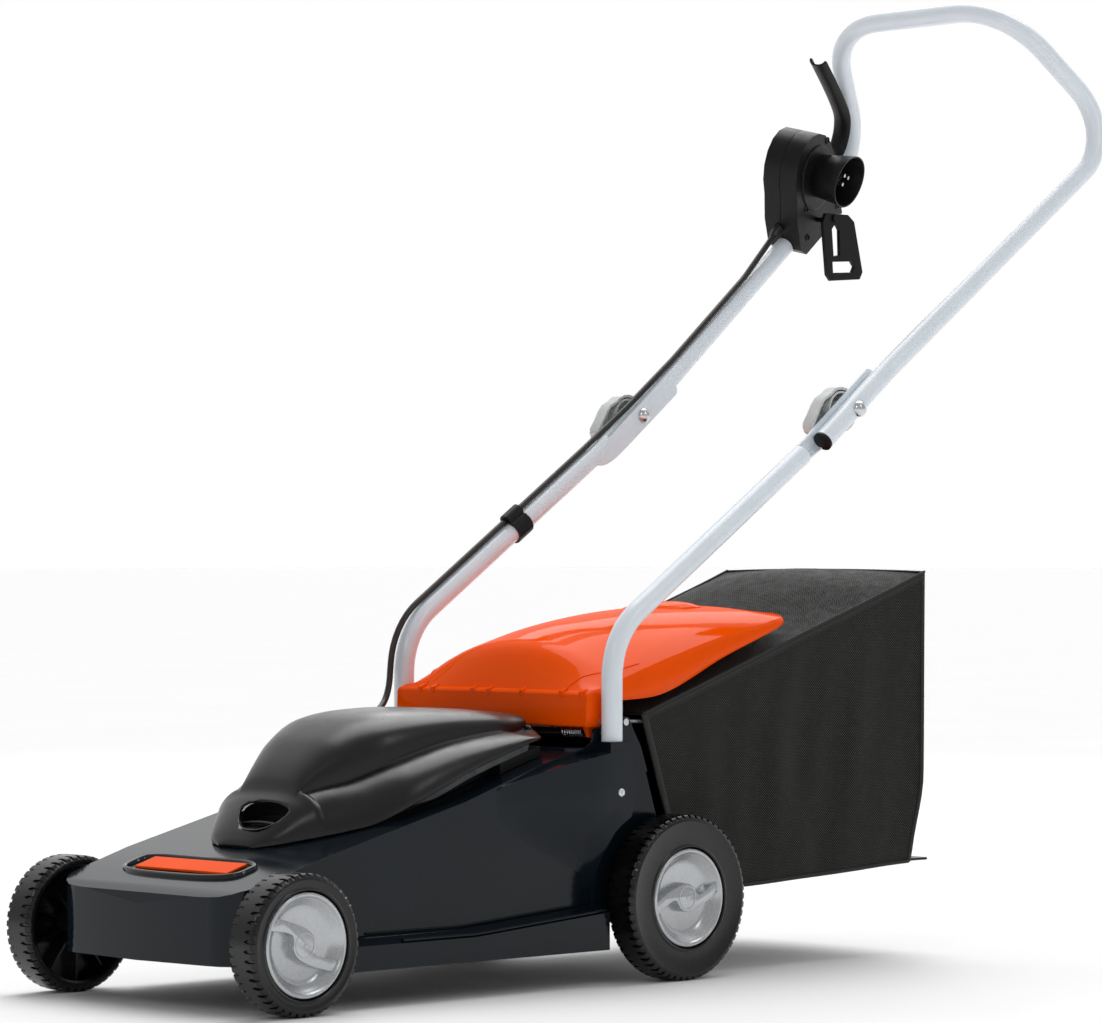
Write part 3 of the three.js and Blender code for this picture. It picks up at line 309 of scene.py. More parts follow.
def woven_mesh(name, pitch=0.0031):
    """Black woven mesh: threads run along two of the three axes, by which way the panel faces; the raised
    thread crossings get a painted highlight in the base colour.
    """
    nodes = Nodes(name)
    split = nodes.tree.nodes.new("ShaderNodeSeparateXYZ")
    nodes.put(split.inputs[0], nodes.coordinates)
    geometry = nodes.tree.nodes.new("ShaderNodeNewGeometry")
    facing = nodes.tree.nodes.new("ShaderNodeSeparateXYZ")
    nodes.put(facing.inputs[0], geometry.outputs["Normal"])
    wave = [nodes.math("SINE", nodes.math("MULTIPLY", axis, math.tau / pitch)) for axis in split.outputs]
    weight = [nodes.math("POWER", nodes.math("ABSOLUTE", axis), 2.0) for axis in facing.outputs]
    cells = None
    for i in range(3):
        product = nodes.math("MULTIPLY", wave[(i + 1) % 3], wave[(i + 2) % 3])
        part = nodes.math("MULTIPLY", product, weight[i])
        cells = part if cells is None else nodes.math("ADD", cells, part)
    height = nodes.math("MULTIPLY_ADD", cells, 0.5, 0.5)
    patches = nodes.noise(90, 5)
    # painted highlight: the raised thread crossings are lightened to a pale olive in the base colour, in
    # patches
    painted_glint = nodes.math("MULTIPLY", nodes.ranged(height, 0, 1, 0.68, 0.97),
                       nodes.ranged(patches, 0.1, 1.0), clamp=True)
    nodes.put(nodes.shader.inputs["Base Color"],
              nodes.mixed(painted_glint, (0.001, 0.001, 0.001), (0.15, 0.145, 0.12)))
    nodes.put(nodes.shader.inputs["Roughness"], nodes.ranged(patches, 0.62, 0.85))
    nodes.bumped(height, 0.55, 0.0005)
    nodes.fixed(Sheen_Weight=0.05, Sheen_Roughness=0.5, Specular_IOR_Level=0.25)
    return nodes.material


def make_materials():
    dark_blue = (0.004, 0.0075, 0.0115)
    return {
        "deck": surface("deck_gloss", dark_blue, 0.12, 0.12, 9, 110, 0, Specular_IOR_Level=0.22),
        "frame_gloss": surface("badge_frame_gloss", (0.006, 0.007, 0.009), 0.08, 0.1, 12, 300, 0.00002),
        "orange": surface("orange_gloss", (0.92, 0.086, 0.0), 0.1, 0.04, 12, 130, 0,
                          Specular_IOR_Level=0.0, Coat_Weight=0.22, Coat_Roughness=0.06),
        "black": surface("black_moulding", (0.006, 0.006, 0.006), 0.40, 0.2, 60, 1500, 0.00009,
                         Specular_IOR_Level=0.22),
        "cover": surface("cover_satin", (0.0035, 0.0035, 0.0035), 0.31, 0.15, 30, 1600, 0.00006,
                         Specular_IOR_Level=0.45),
        "strip": surface("vent_strip_grey", (0.10, 0.105, 0.11), 0.3, 0.2, 50, 900, 0.00006),
        "tyre": surface("tyre_plastic", (0.0045, 0.0045, 0.005), 0.25, 0.2, 50, 700, 0.00005,
                        Specular_IOR_Level=0.45),
        "silver": surface("hub_silver", (0.50, 0.515, 0.53), 0.25, 0.06, 350, 2400, 0.00003,
                          Metallic=0.75),
        "tube": surface("tube_enamel", (0.76, 0.82, 0.88), 0.22, 0.03, 25, 70, 0,
                        Specular_IOR_Level=0.6),
        "lever": surface("lever_grey", (0.60, 0.62, 0.61), 0.34, 0.08, 70, 1200, 0.00005,
                         Subsurface_Weight=0.08, Subsurface_Radius=(0.004, 0.004, 0.004)),
        "steel": surface("bright_zinc", (0.62, 0.63, 0.65), 0.25, 0.1, 160, 1800, 0.00004, Metallic=1.0),
        "white_screw": surface("screw_zinc", (0.75, 0.77, 0.8), 0.28, 0.06, 200, 1500, 0.00003,
                               Metallic=0.7),
        "blade": surface("blade_steel", (0.16, 0.165, 0.17), 0.4, 0.2, 90, 900, 0.00008, (1, 6, 1),
                         Metallic=0.9),
        "dark_steel": surface("black_rod", (0.02, 0.02, 0.022), 0.3, 0.2, 120, 1200, 0.00005,
                              Metallic=0.6),
        "iron": surface("motor_iron", (0.17, 0.12, 0.09), 0.5, 0.25, 140, 1100, 0.00012, (1, 1, 14),
                        Metallic=0.6),
        "bag": woven_mesh("bag_mesh"),
        "binding": surface("bag_binding", (0.010, 0.010, 0.009), 0.7, 0.3, 300, 1900, 0.0002),
        "cable": surface("cable_sheath", (0.017, 0.015, 0.013), 0.34, 0.2, 90, 1200, 0.00005),
    }


# ---- mesh building ------------------------------------------------------------------------------
class Shape:
    """Points and faces gathered before they become one piece."""

    def __init__(self):
        self.points = []
        self.faces = []

    def add(self, points, faces):
        start = len(self.points)
        self.points += [Vector(point) for point in points]
        self.faces += [[start + i for i in face] for face in faces]
        return self

    def grid(self, rows, around=False, ends=False):
        """Quads between rows of points. around closes every row, ends fills the outer rows."""
        count = len(rows[0])
        faces = []
        for r in range(len(rows) - 1):
            for i in range(count if around else count - 1):
                j = (i + 1) % count
                faces.append([r * count + i, r * count + j, (r + 1) * count + j, (r + 1) * count + i])
        if ends:
            last = (len(rows) - 1) * count
            faces.append(list(range(count))[::-1])
            faces.append([last + i for i in range(count)])
        return self.add([point for row in rows for point in row], faces)

    def merge(self, other, move=lambda point: point):
        return self.add([move(point) for point in other.points], other.faces)

    def piece(self, name, body, material, replaces=(), slot=None, crease=38, bevel=0, thick=0):
        mesh = bpy.data.meshes.new(name)
        mesh.from_pydata([place(point) for point in self.points], [], self.faces)
        return finished(name, mesh, body, material, replaces, crease, bevel, thick)


def finished(name, mesh, body, material, replaces, crease, bevel, thick):
    model = bmesh.new()
    model.from_mesh(mesh)
    bmesh.ops.remove_doubles(model, verts=model.verts, dist=2e-6)
    bmesh.ops.recalc_face_normals(model, faces=model.faces)
    if bevel:
        bmesh.ops.dissolve_limit(model, angle_limit=math.radians(1.5), verts=model.verts,
                                 edges=model.edges)
        sharp = [edge for edge in model.edges
                 if len(edge.link_faces) == 2 and edge.calc_face_angle(0) > math.radians(crease)]
        bmesh.ops.bevel(model, geom=sharp, offset=bevel * MM, offset_type="OFFSET", segments=2,
                        profile=0.5, affect="EDGES", clamp_overlap=True)
    model.to_mesh(mesh)
    model.free()
    mesh.shade_smooth()
    mesh.set_sharp_from_angle(angle=math.radians(crease))
    mesh.materials.clear()
    mesh.materials.append(material)
    obj = bpy.data.objects.new(name, mesh)
    bpy.context.scene.collection.objects.link(obj)
    if bevel:
        even = obj.modifiers.new("even_shading", "WEIGHTED_NORMAL")
        even.keep_sharp = True
        even.weight = 90
    if thick:
        solid = obj.modifiers.new("wall", "SOLIDIFY")
        solid.thickness = thick * MM
        solid.offset = -1
    if body:
        dress(obj, body, replaces)
    return obj


def dress(obj, body, replaces=()):
    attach(obj, body)
    if replaces:
        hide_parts(*replaces)


def refined(node, material, bevel=0.8, crease=33):
    """The CAD node's own shape with its edges rounded and its curves shaded smooth."""
    source = NODES[node]
    mesh = source.data.copy()
    if "custom_normal" in mesh.attributes:
        mesh.attributes.remove(mesh.attributes["custom_normal"])
    return finished(f"{node}_moulding", mesh, source["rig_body"], material, [node], crease, bevel, 0)


def painted(node, material):
    data = NODES[node].data
    data.materials.clear()
    data.materials.append(material)


def applied(obj):
    """Puts the modifiers' result into the object's mesh."""
    bpy.context.view_layer.update()
    graph = bpy.context.evaluated_depsgraph_get()
    mesh = bpy.data.meshes.new_from_object(obj.evaluated_get(graph))
    obj.modifiers.clear()
    obj.data = mesh
    return obj


def interpolated(table, at):
    """Values of a station table at any place, on smooth curves through its rows."""
    after = next((i for i, row in enumerate(table) if row[0] >= at), len(table) - 1)
    after = max(1, after)
    p1, p2 = table[after - 1], table[after]
    p0 = table[max(after - 2, 0)]
    p3 = table[min(after + 1, len(table) - 1)]
    span = p2[0] - p1[0]
    t = (at - p1[0]) / span
    values = []
    for k in range(len(p1)):
        slope1 = (p2[k] - p0[k]) / (p2[0] - p0[0])
        slope2 = (p3[k] - p1[k]) / (p3[0] - p1[0])
        h00, h10 = 2 * t**3 - 3 * t**2 + 1, t**3 - 2 * t**2 + t
        h01, h11 = -2 * t**3 + 3 * t**2, t**3 - t**2
        values.append(h00 * p1[k] + h10 * span * slope1 + h01 * p2[k] + h11 * span * slope2)
    return values


def linear(table, at):
    for low, high in zip(table, table[1:]):
        if at <= high[0] or high is table[-1]:
            share = (at - low[0]) / (high[0] - low[0])
            return low[1] + share * (high[1] - low[1])


def deck_top(y):
    return linear(DECK_TOP, y)


def steps(start, end, count):
    return [start + (end - start) * i / (count - 1) for i in range(count)]


def smooth_step(low, high, value):
    t = min(1, max(0, (value - low) / (high - low)))
    return t * t * (3 - 2 * t)


def lathe(profile, centre, segments=40, side=1):
    """(radius, x) pairs turned about an axis along x, measured from centre; side -1 mirrors."""
    rows = []
    for k in range(segments):
        angle = math.tau * k / segments
        c, s = math.cos(angle), math.sin(angle)
        rows.append([(centre[0] + side * x, centre[1] + r * c, centre[2] + r * s) for r, x in profile])
    return Shape().grid(rows + rows[:1])


def frames_along(points, start_normal):
    """Tangent, normal and third direction at every point, turning as little as possible."""
    normal = start_normal
    out = []
    for i in range(len(points)):
        before, after = points[max(i - 1, 0)], points[min(i + 1, len(points) - 1)]
        tangent = (after - before).normalized()
        normal = (normal - tangent * normal.dot(tangent)).normalized()
        out.append((tangent, normal, tangent.cross(normal)))
    return out


def sweep(points, radius, sides=20, normal=Vector((1, 0, 0)), rounded=0, which=(0, -1)):
    """A round bar along points, with its ends closed and, if asked, rounded off."""
    points = [Vector(point) for point in points]
    rows = []
    for i, (point, (tangent, u, v)) in enumerate(zip(points, frames_along(points, normal))):
        size = radius(i / (len(points) - 1)) if callable(radius) else radius
        ring = [point + (u * math.cos(a) + v * math.sin(a)) * size
                for a in (math.tau * k / sides for k in range(sides))]
        if rounded and i in [end % len(points) for end in which]:
            outward = -tangent if i == 0 else tangent
            cap = [(p - point) * (1 - rounded / size) + point + outward * rounded * 0.6 for p in ring]
            rows += [cap, ring] if i == 0 else [ring, cap]
        else:
            rows.append(ring)
    return Shape().grid(rows, around=True, ends=True)


def rounded_path(corners, radii, arc_steps=10, run=14):
    """Points along straight runs joined by arcs."""
    corners = [Vector(corner) for corner in corners]
    points = [corners[0]]

    def run_to(end):
        start = points[-1]
        count = max(1, round((end - start).length / run))
        points.extend(start.lerp(end, (k + 1) / count) for k in range(count))

    for i in range(1, len(corners) - 1):
        back = (corners[i - 1] - corners[i]).normalized()
        ahead = (corners[i + 1] - corners[i]).normalized()
        half = back.angle(ahead) / 2
        radius = radii[i - 1]
        bisector = (back + ahead).normalized()
        centre = corners[i] + bisector * (radius / math.sin(half))
        tangent = (ahead - back).normalized()
        arc = math.pi / 2 - half
        for k in range(arc_steps + 1):
            angle = -arc + 2 * arc * k / arc_steps
            point = centre - bisector * (radius * math.cos(angle)) + tangent * (radius * math.sin(angle))
            if k == 0:
                run_to(point)
            else:
                points.append(point)
    run_to(corners[-1])
    return points


def box_shape(low, high):
    corners = [(x, y, z) for x in (low[0], high[0]) for y in (low[1], high[1]) for z in (low[2], high[2])]
    faces = [[0, 1, 3, 2], [4, 6, 7, 5], [0, 4, 5, 1], [2, 3, 7, 6], [0, 2, 6, 4], [1, 5, 7, 3]]
    return Shape().add(corners, faces)


def shrunk(outline, inset):
    """A closed outline of (a, b) points moved inward by a small distance."""
    count = len(outline)
    area = sum(outline[i - 1][0] * outline[i][1] - outline[i][0] * outline[i - 1][1] for i in range(count))
    turn = 1 if area > 0 else -1
    moved = []
    for i in range(count):
        before, here, after = (Vector(outline[(i + k) % count]) for k in (-1, 0, 1))
        first, second = (here - before).normalized(), (after - here).normalized()
        inward = Vector((-(first + second).y, (first + second).x)).normalized() * turn
        moved.append(tuple(here + inward * inset))
    return moved


def slab(outline, low, high, to_space, rounding=1.0):
    """An outline given thickness from low to high, its upper edge rounded."""
    levels = ((0, low), (0, high - rounding), (0.3 * rounding, high - 0.3 * rounding), (rounding, high))
    rows = [[to_space(a, b, level) for a, b in shrunk(outline, inset)] for inset, level in levels]
    return Shape().grid(rows, around=True, ends=True)


def mirrored(point):
    return Vector((-point.x, point.y, point.z))


def both_sides(build):
    """A shape and its mirror image across the machine's middle."""
    shape = build()
    return Shape().merge(shape).merge(shape, mirrored)


# ---- wheels -------------------------------------------------------------------------------------
TREAD_DEPTH = 2.1
# where along one pitch the columns of points lie; the outer row's notch is in the first half,
# the inner row's in the second
TREAD_COLUMNS = (0.05, 0.11, 0.17, 0.25, 0.33, 0.39, 0.45, 0.55, 0.61, 0.67, 0.75, 0.83, 0.89, 0.95)


def notch(column, centre):
    """(depth, how far the notch reaches in) at a column, for the notch round a centre."""
    off = abs(column - centre) / 0.14
    if off > 1.01:
        return 0, 13
    return TREAD_DEPTH, 8.5 + 5 * math.sqrt(max(0, 1 - off * off))


def tyre_section(radius, column):
    """(x inward from the outer face, r) points from the cap's seat round to the bore."""
    cut_out, end_out = notch(column, 0.25)
    cut_in, end_in = notch(column, 0.75)
    far = -WHEEL_WIDTH
    outer = [
        (-13, RIM_RADIUS + 1), (-2.2, RIM_RADIUS + 1.2), (-0.6, RIM_RADIUS + 1.8), (0, RIM_RADIUS + 3),
        (-0.4, RIM_RADIUS + 4.4), (-1.1, RIM_RADIUS + 5.2), (-1.2, radius - 8.5), (-0.5, radius - 7.2),
        (-0.5, radius - 6), (-1.2, radius - 4.6), (-1.5, radius - 3.4 - 0.3 * cut_out),
    ]
    tread = [
        (-2.6, radius - 1.3 - cut_out), (-4.4, radius - cut_out - 0.1), (-end_out + 0.5, radius - cut_out),
        (-end_out, radius), (far / 2, radius),
        (far + end_in, radius), (far + end_in - 0.5, radius - cut_in), (far + 4.4, radius - cut_in - 0.1),
        (far + 2.4, radius - 1.3 - cut_in),
    ]
    inner = [
        (far + 0.8, radius - 3.6 - 0.3 * cut_in), (far, radius - 6), (far, radius - 9),
        (far + 2, radius - 11.5), (far + 5, radius - 12), (-HUB_FACE - 3, radius - 13),
        (-HUB_FACE - 3, 14), (-32.5, 13), (-34, 12), (-34, 5.3), (-HUB_FACE, 5.3),
    ]
    return outer + tread + inner


def tyre(radius, y, side, pitches):
    rows = []
    for k in range(pitches):
        for column in TREAD_COLUMNS:
            angle = math.tau * (k + column) / pitches
            rows.append([(side * (WHEEL_FACE + x), y + r * math.cos(angle), radius + r * math.sin(angle))
                         for x, r in tyre_section(radius, column)])
    shape = Shape().grid(rows + rows[:1])
    for k in range(10):
        turn = Matrix.Rotation(math.tau * k / 10, 3, "X")
        rib = box_shape((-30, -1.1, 12), (-HUB_FACE - 2.5, 1.1, radius - 12.5))
        shape.merge(rib, lambda p: Vector((side * WHEEL_FACE, y, radius)) +
                    turn @ Vector((side * p.x, p.y, p.z)))
    return shape


# One half of the cap's S, as distance towards the lower arm's end and height; the other half is
# the same turned by 180 degrees.
CAP_ARM = [
    (48.4, -4.3), (37, 2), (27, 7), (18, 10.8), (8.5, 13.8), (2, 15), (-4, 14.5), (-9.5, 11.6),
    (-12.6, 7), (-15.5, 3.4), (-19.5, 2.4), (-27, 5.5), (-35, 10.5), (-45.4, 17.4),
]
CAP_BOWL = [
    (0.05, -12.2), (34, -12.2), (37, -11.7), (39.5, -10), (44.6, -4.6), (45.9, -3.4), (46.9, -2.6),
    (47.5, -1.4), (48.3, -0.8), (49.6, -0.6), (50.8, -0.9), (51.5, -1.7), (RIM_RADIUS, -2.6),
    (RIM_RADIUS, -13.4), (0.05, -13.4),
]
CAP_FACE = -3.6


def hub_cap(radius, y, side, turn):
    centre = (side * WHEEL_FACE, y, radius)
    shape = lathe(CAP_BOWL, centre, 96, side)
    for ring, top in ((11.8, 0.45), (1.0, 0.6)):
        bump = [(max(0.05, ring - 0.7), CAP_FACE - 0.3), (max(0.05, ring - 0.4), CAP_FACE + top),
                (ring + 0.4, CAP_FACE + top), (ring + 0.7, CAP_FACE - 0.3)]
        shape.merge(lathe(bump, centre, 48, side))
    outline = CAP_ARM + [(-u, -v) for u, v in CAP_ARM]

    def on_wheel(u, v, height):
        across = -u * math.cos(turn) - v * math.sin(turn)
        up = -u * math.sin(turn) + v * math.cos(turn)
        return side * (WHEEL_FACE + height), y + side * across, radius + up

    return shape.merge(slab(outline, -12.4, CAP_FACE, on_wheel, 1.2))


def make_wheels(look):
    ends = [("front", FRONT_RADIUS, -WHEELBASE / 2, 46, math.radians(-41)),
            ("rear", REAR_RADIUS, WHEELBASE / 2, 58, 0)]
    for end, radius, y, pitches, turn in ends:
        for name, side in (("left", 1), ("right", -1)):
            place_name, body = f"{end}_{name}", f"{end}_{name}_wheel"
            tyre(radius, y, side, pitches).piece(
                f"tyre_{place_name}", body, look["tyre"], [f"wheel_{place_name}"], "wheel_black", 30)
            hub_cap(radius, y, side, turn).piece(
                f"wheel_cap_{place_name}", body, look["silver"], [f"hub_cap_{place_name}"],
                "hub_silver", 40)
        refined(f"{end}_axle", look["steel"], 0.5)


# ---- deck ---------------------------------------------------------------------------------------
def badge_frame():
    """A raised gloss rim round the badge, bowed like the deck's front."""
    outline = []
    for k in range(64):
        angle = math.tau * k / 64
        c, s = math.cos(angle), math.sin(angle)
        x = 92 * math.copysign(abs(c) ** 0.42, c)
        y = BADGE_CENTRE[1] + 22 * math.copysign(abs(s) ** 0.5, s)
        bow = 6 * (1 - (x / 92) ** 2) if s < 0 else 0
        outline.append((x, y - bow))
    rows = []
    section = ((0, -1.5), (0.4, 2.6), (1.4, 4.0), (3.0, 4.3), (4.6, 3.4), (5.4, 0.2), (5.6, -1.5))
    for shrink, lift in section:
        ring = []
        for x, y in outline:
            away = Vector((x - BADGE_CENTRE[0], (y - BADGE_CENTRE[1]) * 3, 0)).normalized()
            px, py = x - away.x * shrink, y - away.y * shrink
            ring.append((px, py, deck_top(py) + lift))
        rows.append(ring)
    return Shape().grid(rows, around=True)


def skirt_trim():
    """Two fine ledges along the foot of the side wall, and a ribbed tab by the wheel arch."""
    shape = Shape()
    ledge = lambda y: 62 + max(0, (y + 20) / 190) * 14
    for lift, out in ((9.6, 149.2), (3.2, 172.6)):
        rows = []
        for y in steps(-120 if lift < 5 else -150, 164, 24):
            z = ledge(y) + lift
            inner = 147 if lift > 5 else 168.5
            rows.append([(inner, y, z + 1.6), (out, y, z + 1.1), (out + 0.5, y, z), (out, y, z - 1.1),
                         (inner, y, z - 1.6)])
        shape.grid(rows, around=True, ends=True)
    for k in range(5):
        shape.merge(box_shape((147.5, 150 + 3.2 * k, 80), (150.2, 151.6 + 3.2 * k, 99)))
    return shape


def side_fairing():
    """The wall swelling out to meet the foot of the handle tube; seam pairs a height with its y."""
    front, rear = 20, 176
    seam = [(62, 171), (140, 171), (158, 176), (168, 186), (175, 200), (201, 204)]
    rows = []
    for row in range(17):
        t = row / 16
        low = 104 + 60 * (1 - t)
        line = []
        for k in range(15):
            u = k / 14
            y = front + (rear - front) * t
            crest = min(deck_top(min(y, 158)), 214.2 + 60 * smooth_step(172, 150, y)) - 1.5
            z = low + (crest - low) * u
            limit = linear(seam, max(62, min(z, 201)))
            y = front + (limit + 1 - front) * t
            swell = smooth_step(front, 172, y) * smooth_step(0, 0.62, u)
            line.append((147.6 + 27.2 * swell, y, z))
        rows.append(line)
    inner = [(147, y, z) for _, y, z in rows[-1]]
    rows.append(inner)
    top = [[row[-1], (147, row[-1][1], row[-1][2] + 1)] for row in rows]
    return Shape().grid(rows).grid(top)


def screw_head(centre, axis_x=1, radius=4.6, height=2.4, slot_width=1.1):
    """A pan head with a cross recess, facing along x."""
    rows = []
    for k in range(48):
        angle = math.tau * k / 48
        row = []
        for r, x in ((0.05, 1.0), (0.45, 0.99), (0.7, 0.93), (0.9, 0.75), (1.0, 0.45), (1.0, 0)):
            y, z = r * radius * math.cos(angle), r * radius * math.sin(angle)
            crossed = min(abs(y), abs(z)) < slot_width / 2 and r < 0.6
            rise = height * (x - (0.45 if crossed else 0))
            row.append((centre[0] + axis_x * rise, centre[1] + y, centre[2] + z))
        rows.append(row)
    return Shape().grid(rows + rows[:1])


def make_deck(look):
    refined("deck_housing", look["deck"], 1.3, 28)
    for sign, side in ((1, "left"), (-1, "right")):
        refined(f"rear_panel_{side}", look["deck"], 0.7, 28)
        x, y, z = PANEL_SCREW
        screw_head((sign * x, y, z), sign, 4.6, 3.2).piece(
            f"panel_screw_{side}", "deck", look["white_screw"], [f"rear_panel_screw_{side}"],
            "bright_steel")
    refined("badge_plate", look["orange"], 0.8)
    badge_frame().piece("badge_rim", "deck", look["frame_gloss"], slot="deck_paint", crease=60)
    for sign, side in ((1, "left"), (-1, "right")):
        x, y, z = SEAM_SCREW
        screw_head((sign * x, y, z), sign, 4.4, 2.6).piece(
            f"seam_screw_{side}", "deck", look["white_screw"], slot="bright_steel")
    both_sides(side_fairing).piece("side_fairings", "deck", look["deck"], slot="deck_paint", crease=50)
    both_sides(skirt_trim).piece("skirt_trim", "deck", look["deck"], slot="deck_paint")
    for side in ("left", "right"):
        painted(f"handle_screw_{side}", look["dark_steel"])


# ---- motor cover --------------------------------------------------------------------------------
def cover_section(y):
    """Points from the wing's edge on one side, over the crown, to the other."""
    _, wing, lift, dome, foot, crown = interpolated(COVER_STATIONS, y)
    edge = deck_top(y) + 0.3 + lift
    boxy = 1.75 + 0.35 * smooth_step(-150, 0, y)
    lip = min(4, 0.3 * (foot - edge))
    side = [(wing - 0.8, edge), (wing, edge + 0.25 * lip), (wing, edge + lip)]
    for k in range(1, 11):
        t = math.pi / 2 * k / 10
        side.append((dome + 1.2 + (wing - dome - 1.2) * math.cos(t) ** (2 / boxy),
                     edge + lip + (foot - 1.6 - edge - lip) * math.sin(t) ** (2 / boxy)))
    side.append((dome, foot))
    for k in range(1, 17):
        t = math.pi / 2 * k / 16
        side.append((dome * max(0, math.cos(t)) ** (2 / 3.3),
                     foot + (crown - foot) * math.sin(t) ** (2 / 3.3)))
    domed = smooth_step(-152.5, -142, y)
    full = 2.3 + 0.6 * smooth_step(-190, -155, y)
    for i, (x, z) in enumerate(side[3:], 3):
        cone = edge + lip + (crown - edge - lip) * max(0, 1 - (abs(x) / wing) ** full) ** (1 / full)
        side[i] = (x, cone + (z - cone) * domed)
    points = [(x, y, z) for x, z in side]
    return points + [(-x, py, z) for x, py, z in points[:-1]][::-1]


def clear_of_flap(x, y, z):
    """Keep the tail out of the circle that the flap's front lip swings through."""
    above = z - FLAP_HINGE[1]
    return x, min(y, FLAP_HINGE[0] - math.sqrt(max(0, FLAP_SWING ** 2 - above ** 2))), z


def cover_shell():
    first, last = COVER_STATIONS[0][0], COVER_STATIONS[-1][0]
    places = steps(first, -152, 18) + steps(-151, -143, 7) + steps(-140, 128, 56) + steps(131, last, 8)
    rows = [[clear_of_flap(*point) for point in cover_section(y)] for y in places]
    nose = [(x * 0.96, first - 0.8, rows[0][0][2]) for x, _, _ in rows[0]]
    tail = [(x, y + 0.2, rows[-1][0][2]) for x, y, _ in rows[-1]]
    return Shape().grid([nose, *rows, tail])


GRIP_CENTRE = Vector((15, -173.5, 184))
GRIP_UP = Vector((0, 0.70, 0.714))
GRIP_OUT = Vector((0.05, -0.714, 0.70)).normalized()


def grip_outline(grow=0):
    """The hand recess seen square on: a bowed top and a narrower, rounded bottom."""
    outline = [(-33, 11), (-28, 14.5), (-15, 17.5), (0, 18.5), (15, 17.5), (28, 14.5), (33, 11),
               (32, 4), (27, -5), (19, -13), (10, -17), (0, -18), (-10, -17), (-19, -13), (-27, -5),
               (-32, 4)]
    return [(x * (1 + grow / 33), s * (1 + grow / 18)) for x, s in outline]


def on_grip(x, s, depth):
    return GRIP_CENTRE + Vector((x, 0, 0)) + GRIP_UP * s + GRIP_OUT * depth


def grip_rows(levels):
    return [[on_grip(x, s, depth) for x, s in grip_outline(grow)] for depth, grow in levels]


def grip_scoop():
    """The recess behind the opening: deep under its upper edge, running out at the lower one."""
    rows = []
    for share, grow in ((0.0, 2.0), (0.02, 0.6), (0.35, 0.2), (0.8, -0.8), (1.0, -2.4)):
        row = []
        for x, s in grip_outline(grow):
            drop = share * (3.5 + 14 * smooth_step(-17, 4, s))
            row.append(on_grip(x, s, 0.6 - drop - 4 * (abs(x) / 33) ** 2))
        rows.append(row)
    shape = Shape().grid(rows, around=True)
    return shape.add(rows[-1], [list(range(len(rows[-1])))])


def make_cover(look):
    cover = cover_shell().piece("motor_hood", None, look["cover"], thick=2.6, crease=22)
    cutter = Shape().grid(grip_rows([(30, 3), (-40, 0)]), around=True, ends=True).piece(
        "grip_cutter", None, look["cover"])
    hole = cover.modifiers.new("grip", "BOOLEAN")
    hole.operation = "DIFFERENCE"
    hole.solver = "EXACT"
    hole.object = cutter
    applied(cover)
    bpy.data.objects.remove(cutter)
    dress(cover, "deck", ["motor_cover"])
    grip_scoop().piece("grip_pocket", "deck", look["cover"], slot="black_plastic", crease=50)
    ledge = [on_grip(x, -2.5 - 2.5 * (x / 27) ** 2, -7) for x in steps(-27, 27, 10)]
    sweep(ledge, 1.4, 12, Vector((0, 0, 1)), 0.6).piece(
        "grip_ledge", "deck", look["cover"], slot="black_plastic")
    both_sides(vent_strip).piece("vent_strips", "deck", look["strip"], slot="black_plastic", crease=30)
    refined("motor_base", look["black"], 0.8)


def vent_strip():
    """The louvred strip that shows under the raised edge of the wing."""
    rows = []
    for y in steps(-80, 96, 44):
        _, wing, lift, *_ = interpolated(COVER_STATIONS, y)
        top = deck_top(y) + lift + 1.2
        depth = 0.6 + 8.5 * smooth_step(-80, -25, y)
        rows.append([(wing - 2.8, y, top), (wing - 4.2, y, top), (wing - 7.4, y, top - depth),
                     (wing - 6.0, y, top - depth)])
    return Shape().grid(rows, around=True, ends=True)


def make_motor(look):
    for node in ("motor_plate", "upper_bearing", "lower_bearing", "motor_shaft", "rotor_core",
                 "blade_bolt"):
        painted(node, look["steel"])
    painted("motor_stator", look["iron"])
    painted("run_capacitor", look["lever"])
    painted("cooling_fan", look["black"])
    refined("blade_carrier", look["black"], 0.8)
    refined("cutting_blade", look["blade"], 0.5)


# ---- discharge flap -----------------------------------------------------------------------------
def flap_section(station):
    """Points from the side's lower edge, over the arch, down the other side."""
    y, half, low, crown, drop = station
    shoulder = crown - drop
    side = [(half, low), (half, low + 0.35 * (shoulder - low))]
    side += [(half, shoulder - 3.2), (half - 0.3, shoulder - 1.6), (half - 1.2, shoulder - 0.4)]
    arch = [(share, crown - drop * share ** 2.3 - 0.2)
            for share in (0.975, 0.965, 0.94, 0.9, 0.84, 0.77, 0.7, 0.6, 0.5, 0.4, 0.3, 0.2, 0.1, 0)]
    side += [(half * share, z + (1.1 if i == 0 else 0)) for i, (share, z) in enumerate(arch)]
    points = [(x, y, z) for x, z in side]
    return points + [(-x, py, z) for x, py, z in points[:-1]][::-1]


def flap_shell():
    stations = list(FLAP_FRONT)
    for low, high, count in ((205, 276, 12), (276, 366, 13), (366, 455, 14), (455, 482, 10)):
        stations += [interpolated(FLAP_REAR, y) for y in steps(low, high, count)[0 if low == 205 else 1:]]
    rows = [flap_section(station) for station in stations]
    first = [(x, 160, 268) for x, _, _ in rows[0]]
    last = [(x, 482, 379) for x, _, _ in rows[-1]]
    return Shape().grid([first, *rows, last])


def flap_top(x, y):
    """Height of the flap's outer face."""
    _, half, _, crown, drop = interpolated(FLAP_FRONT if y < 196 else FLAP_REAR, max(y, 168))
    return crown - drop * abs(x / half) ** 2.3


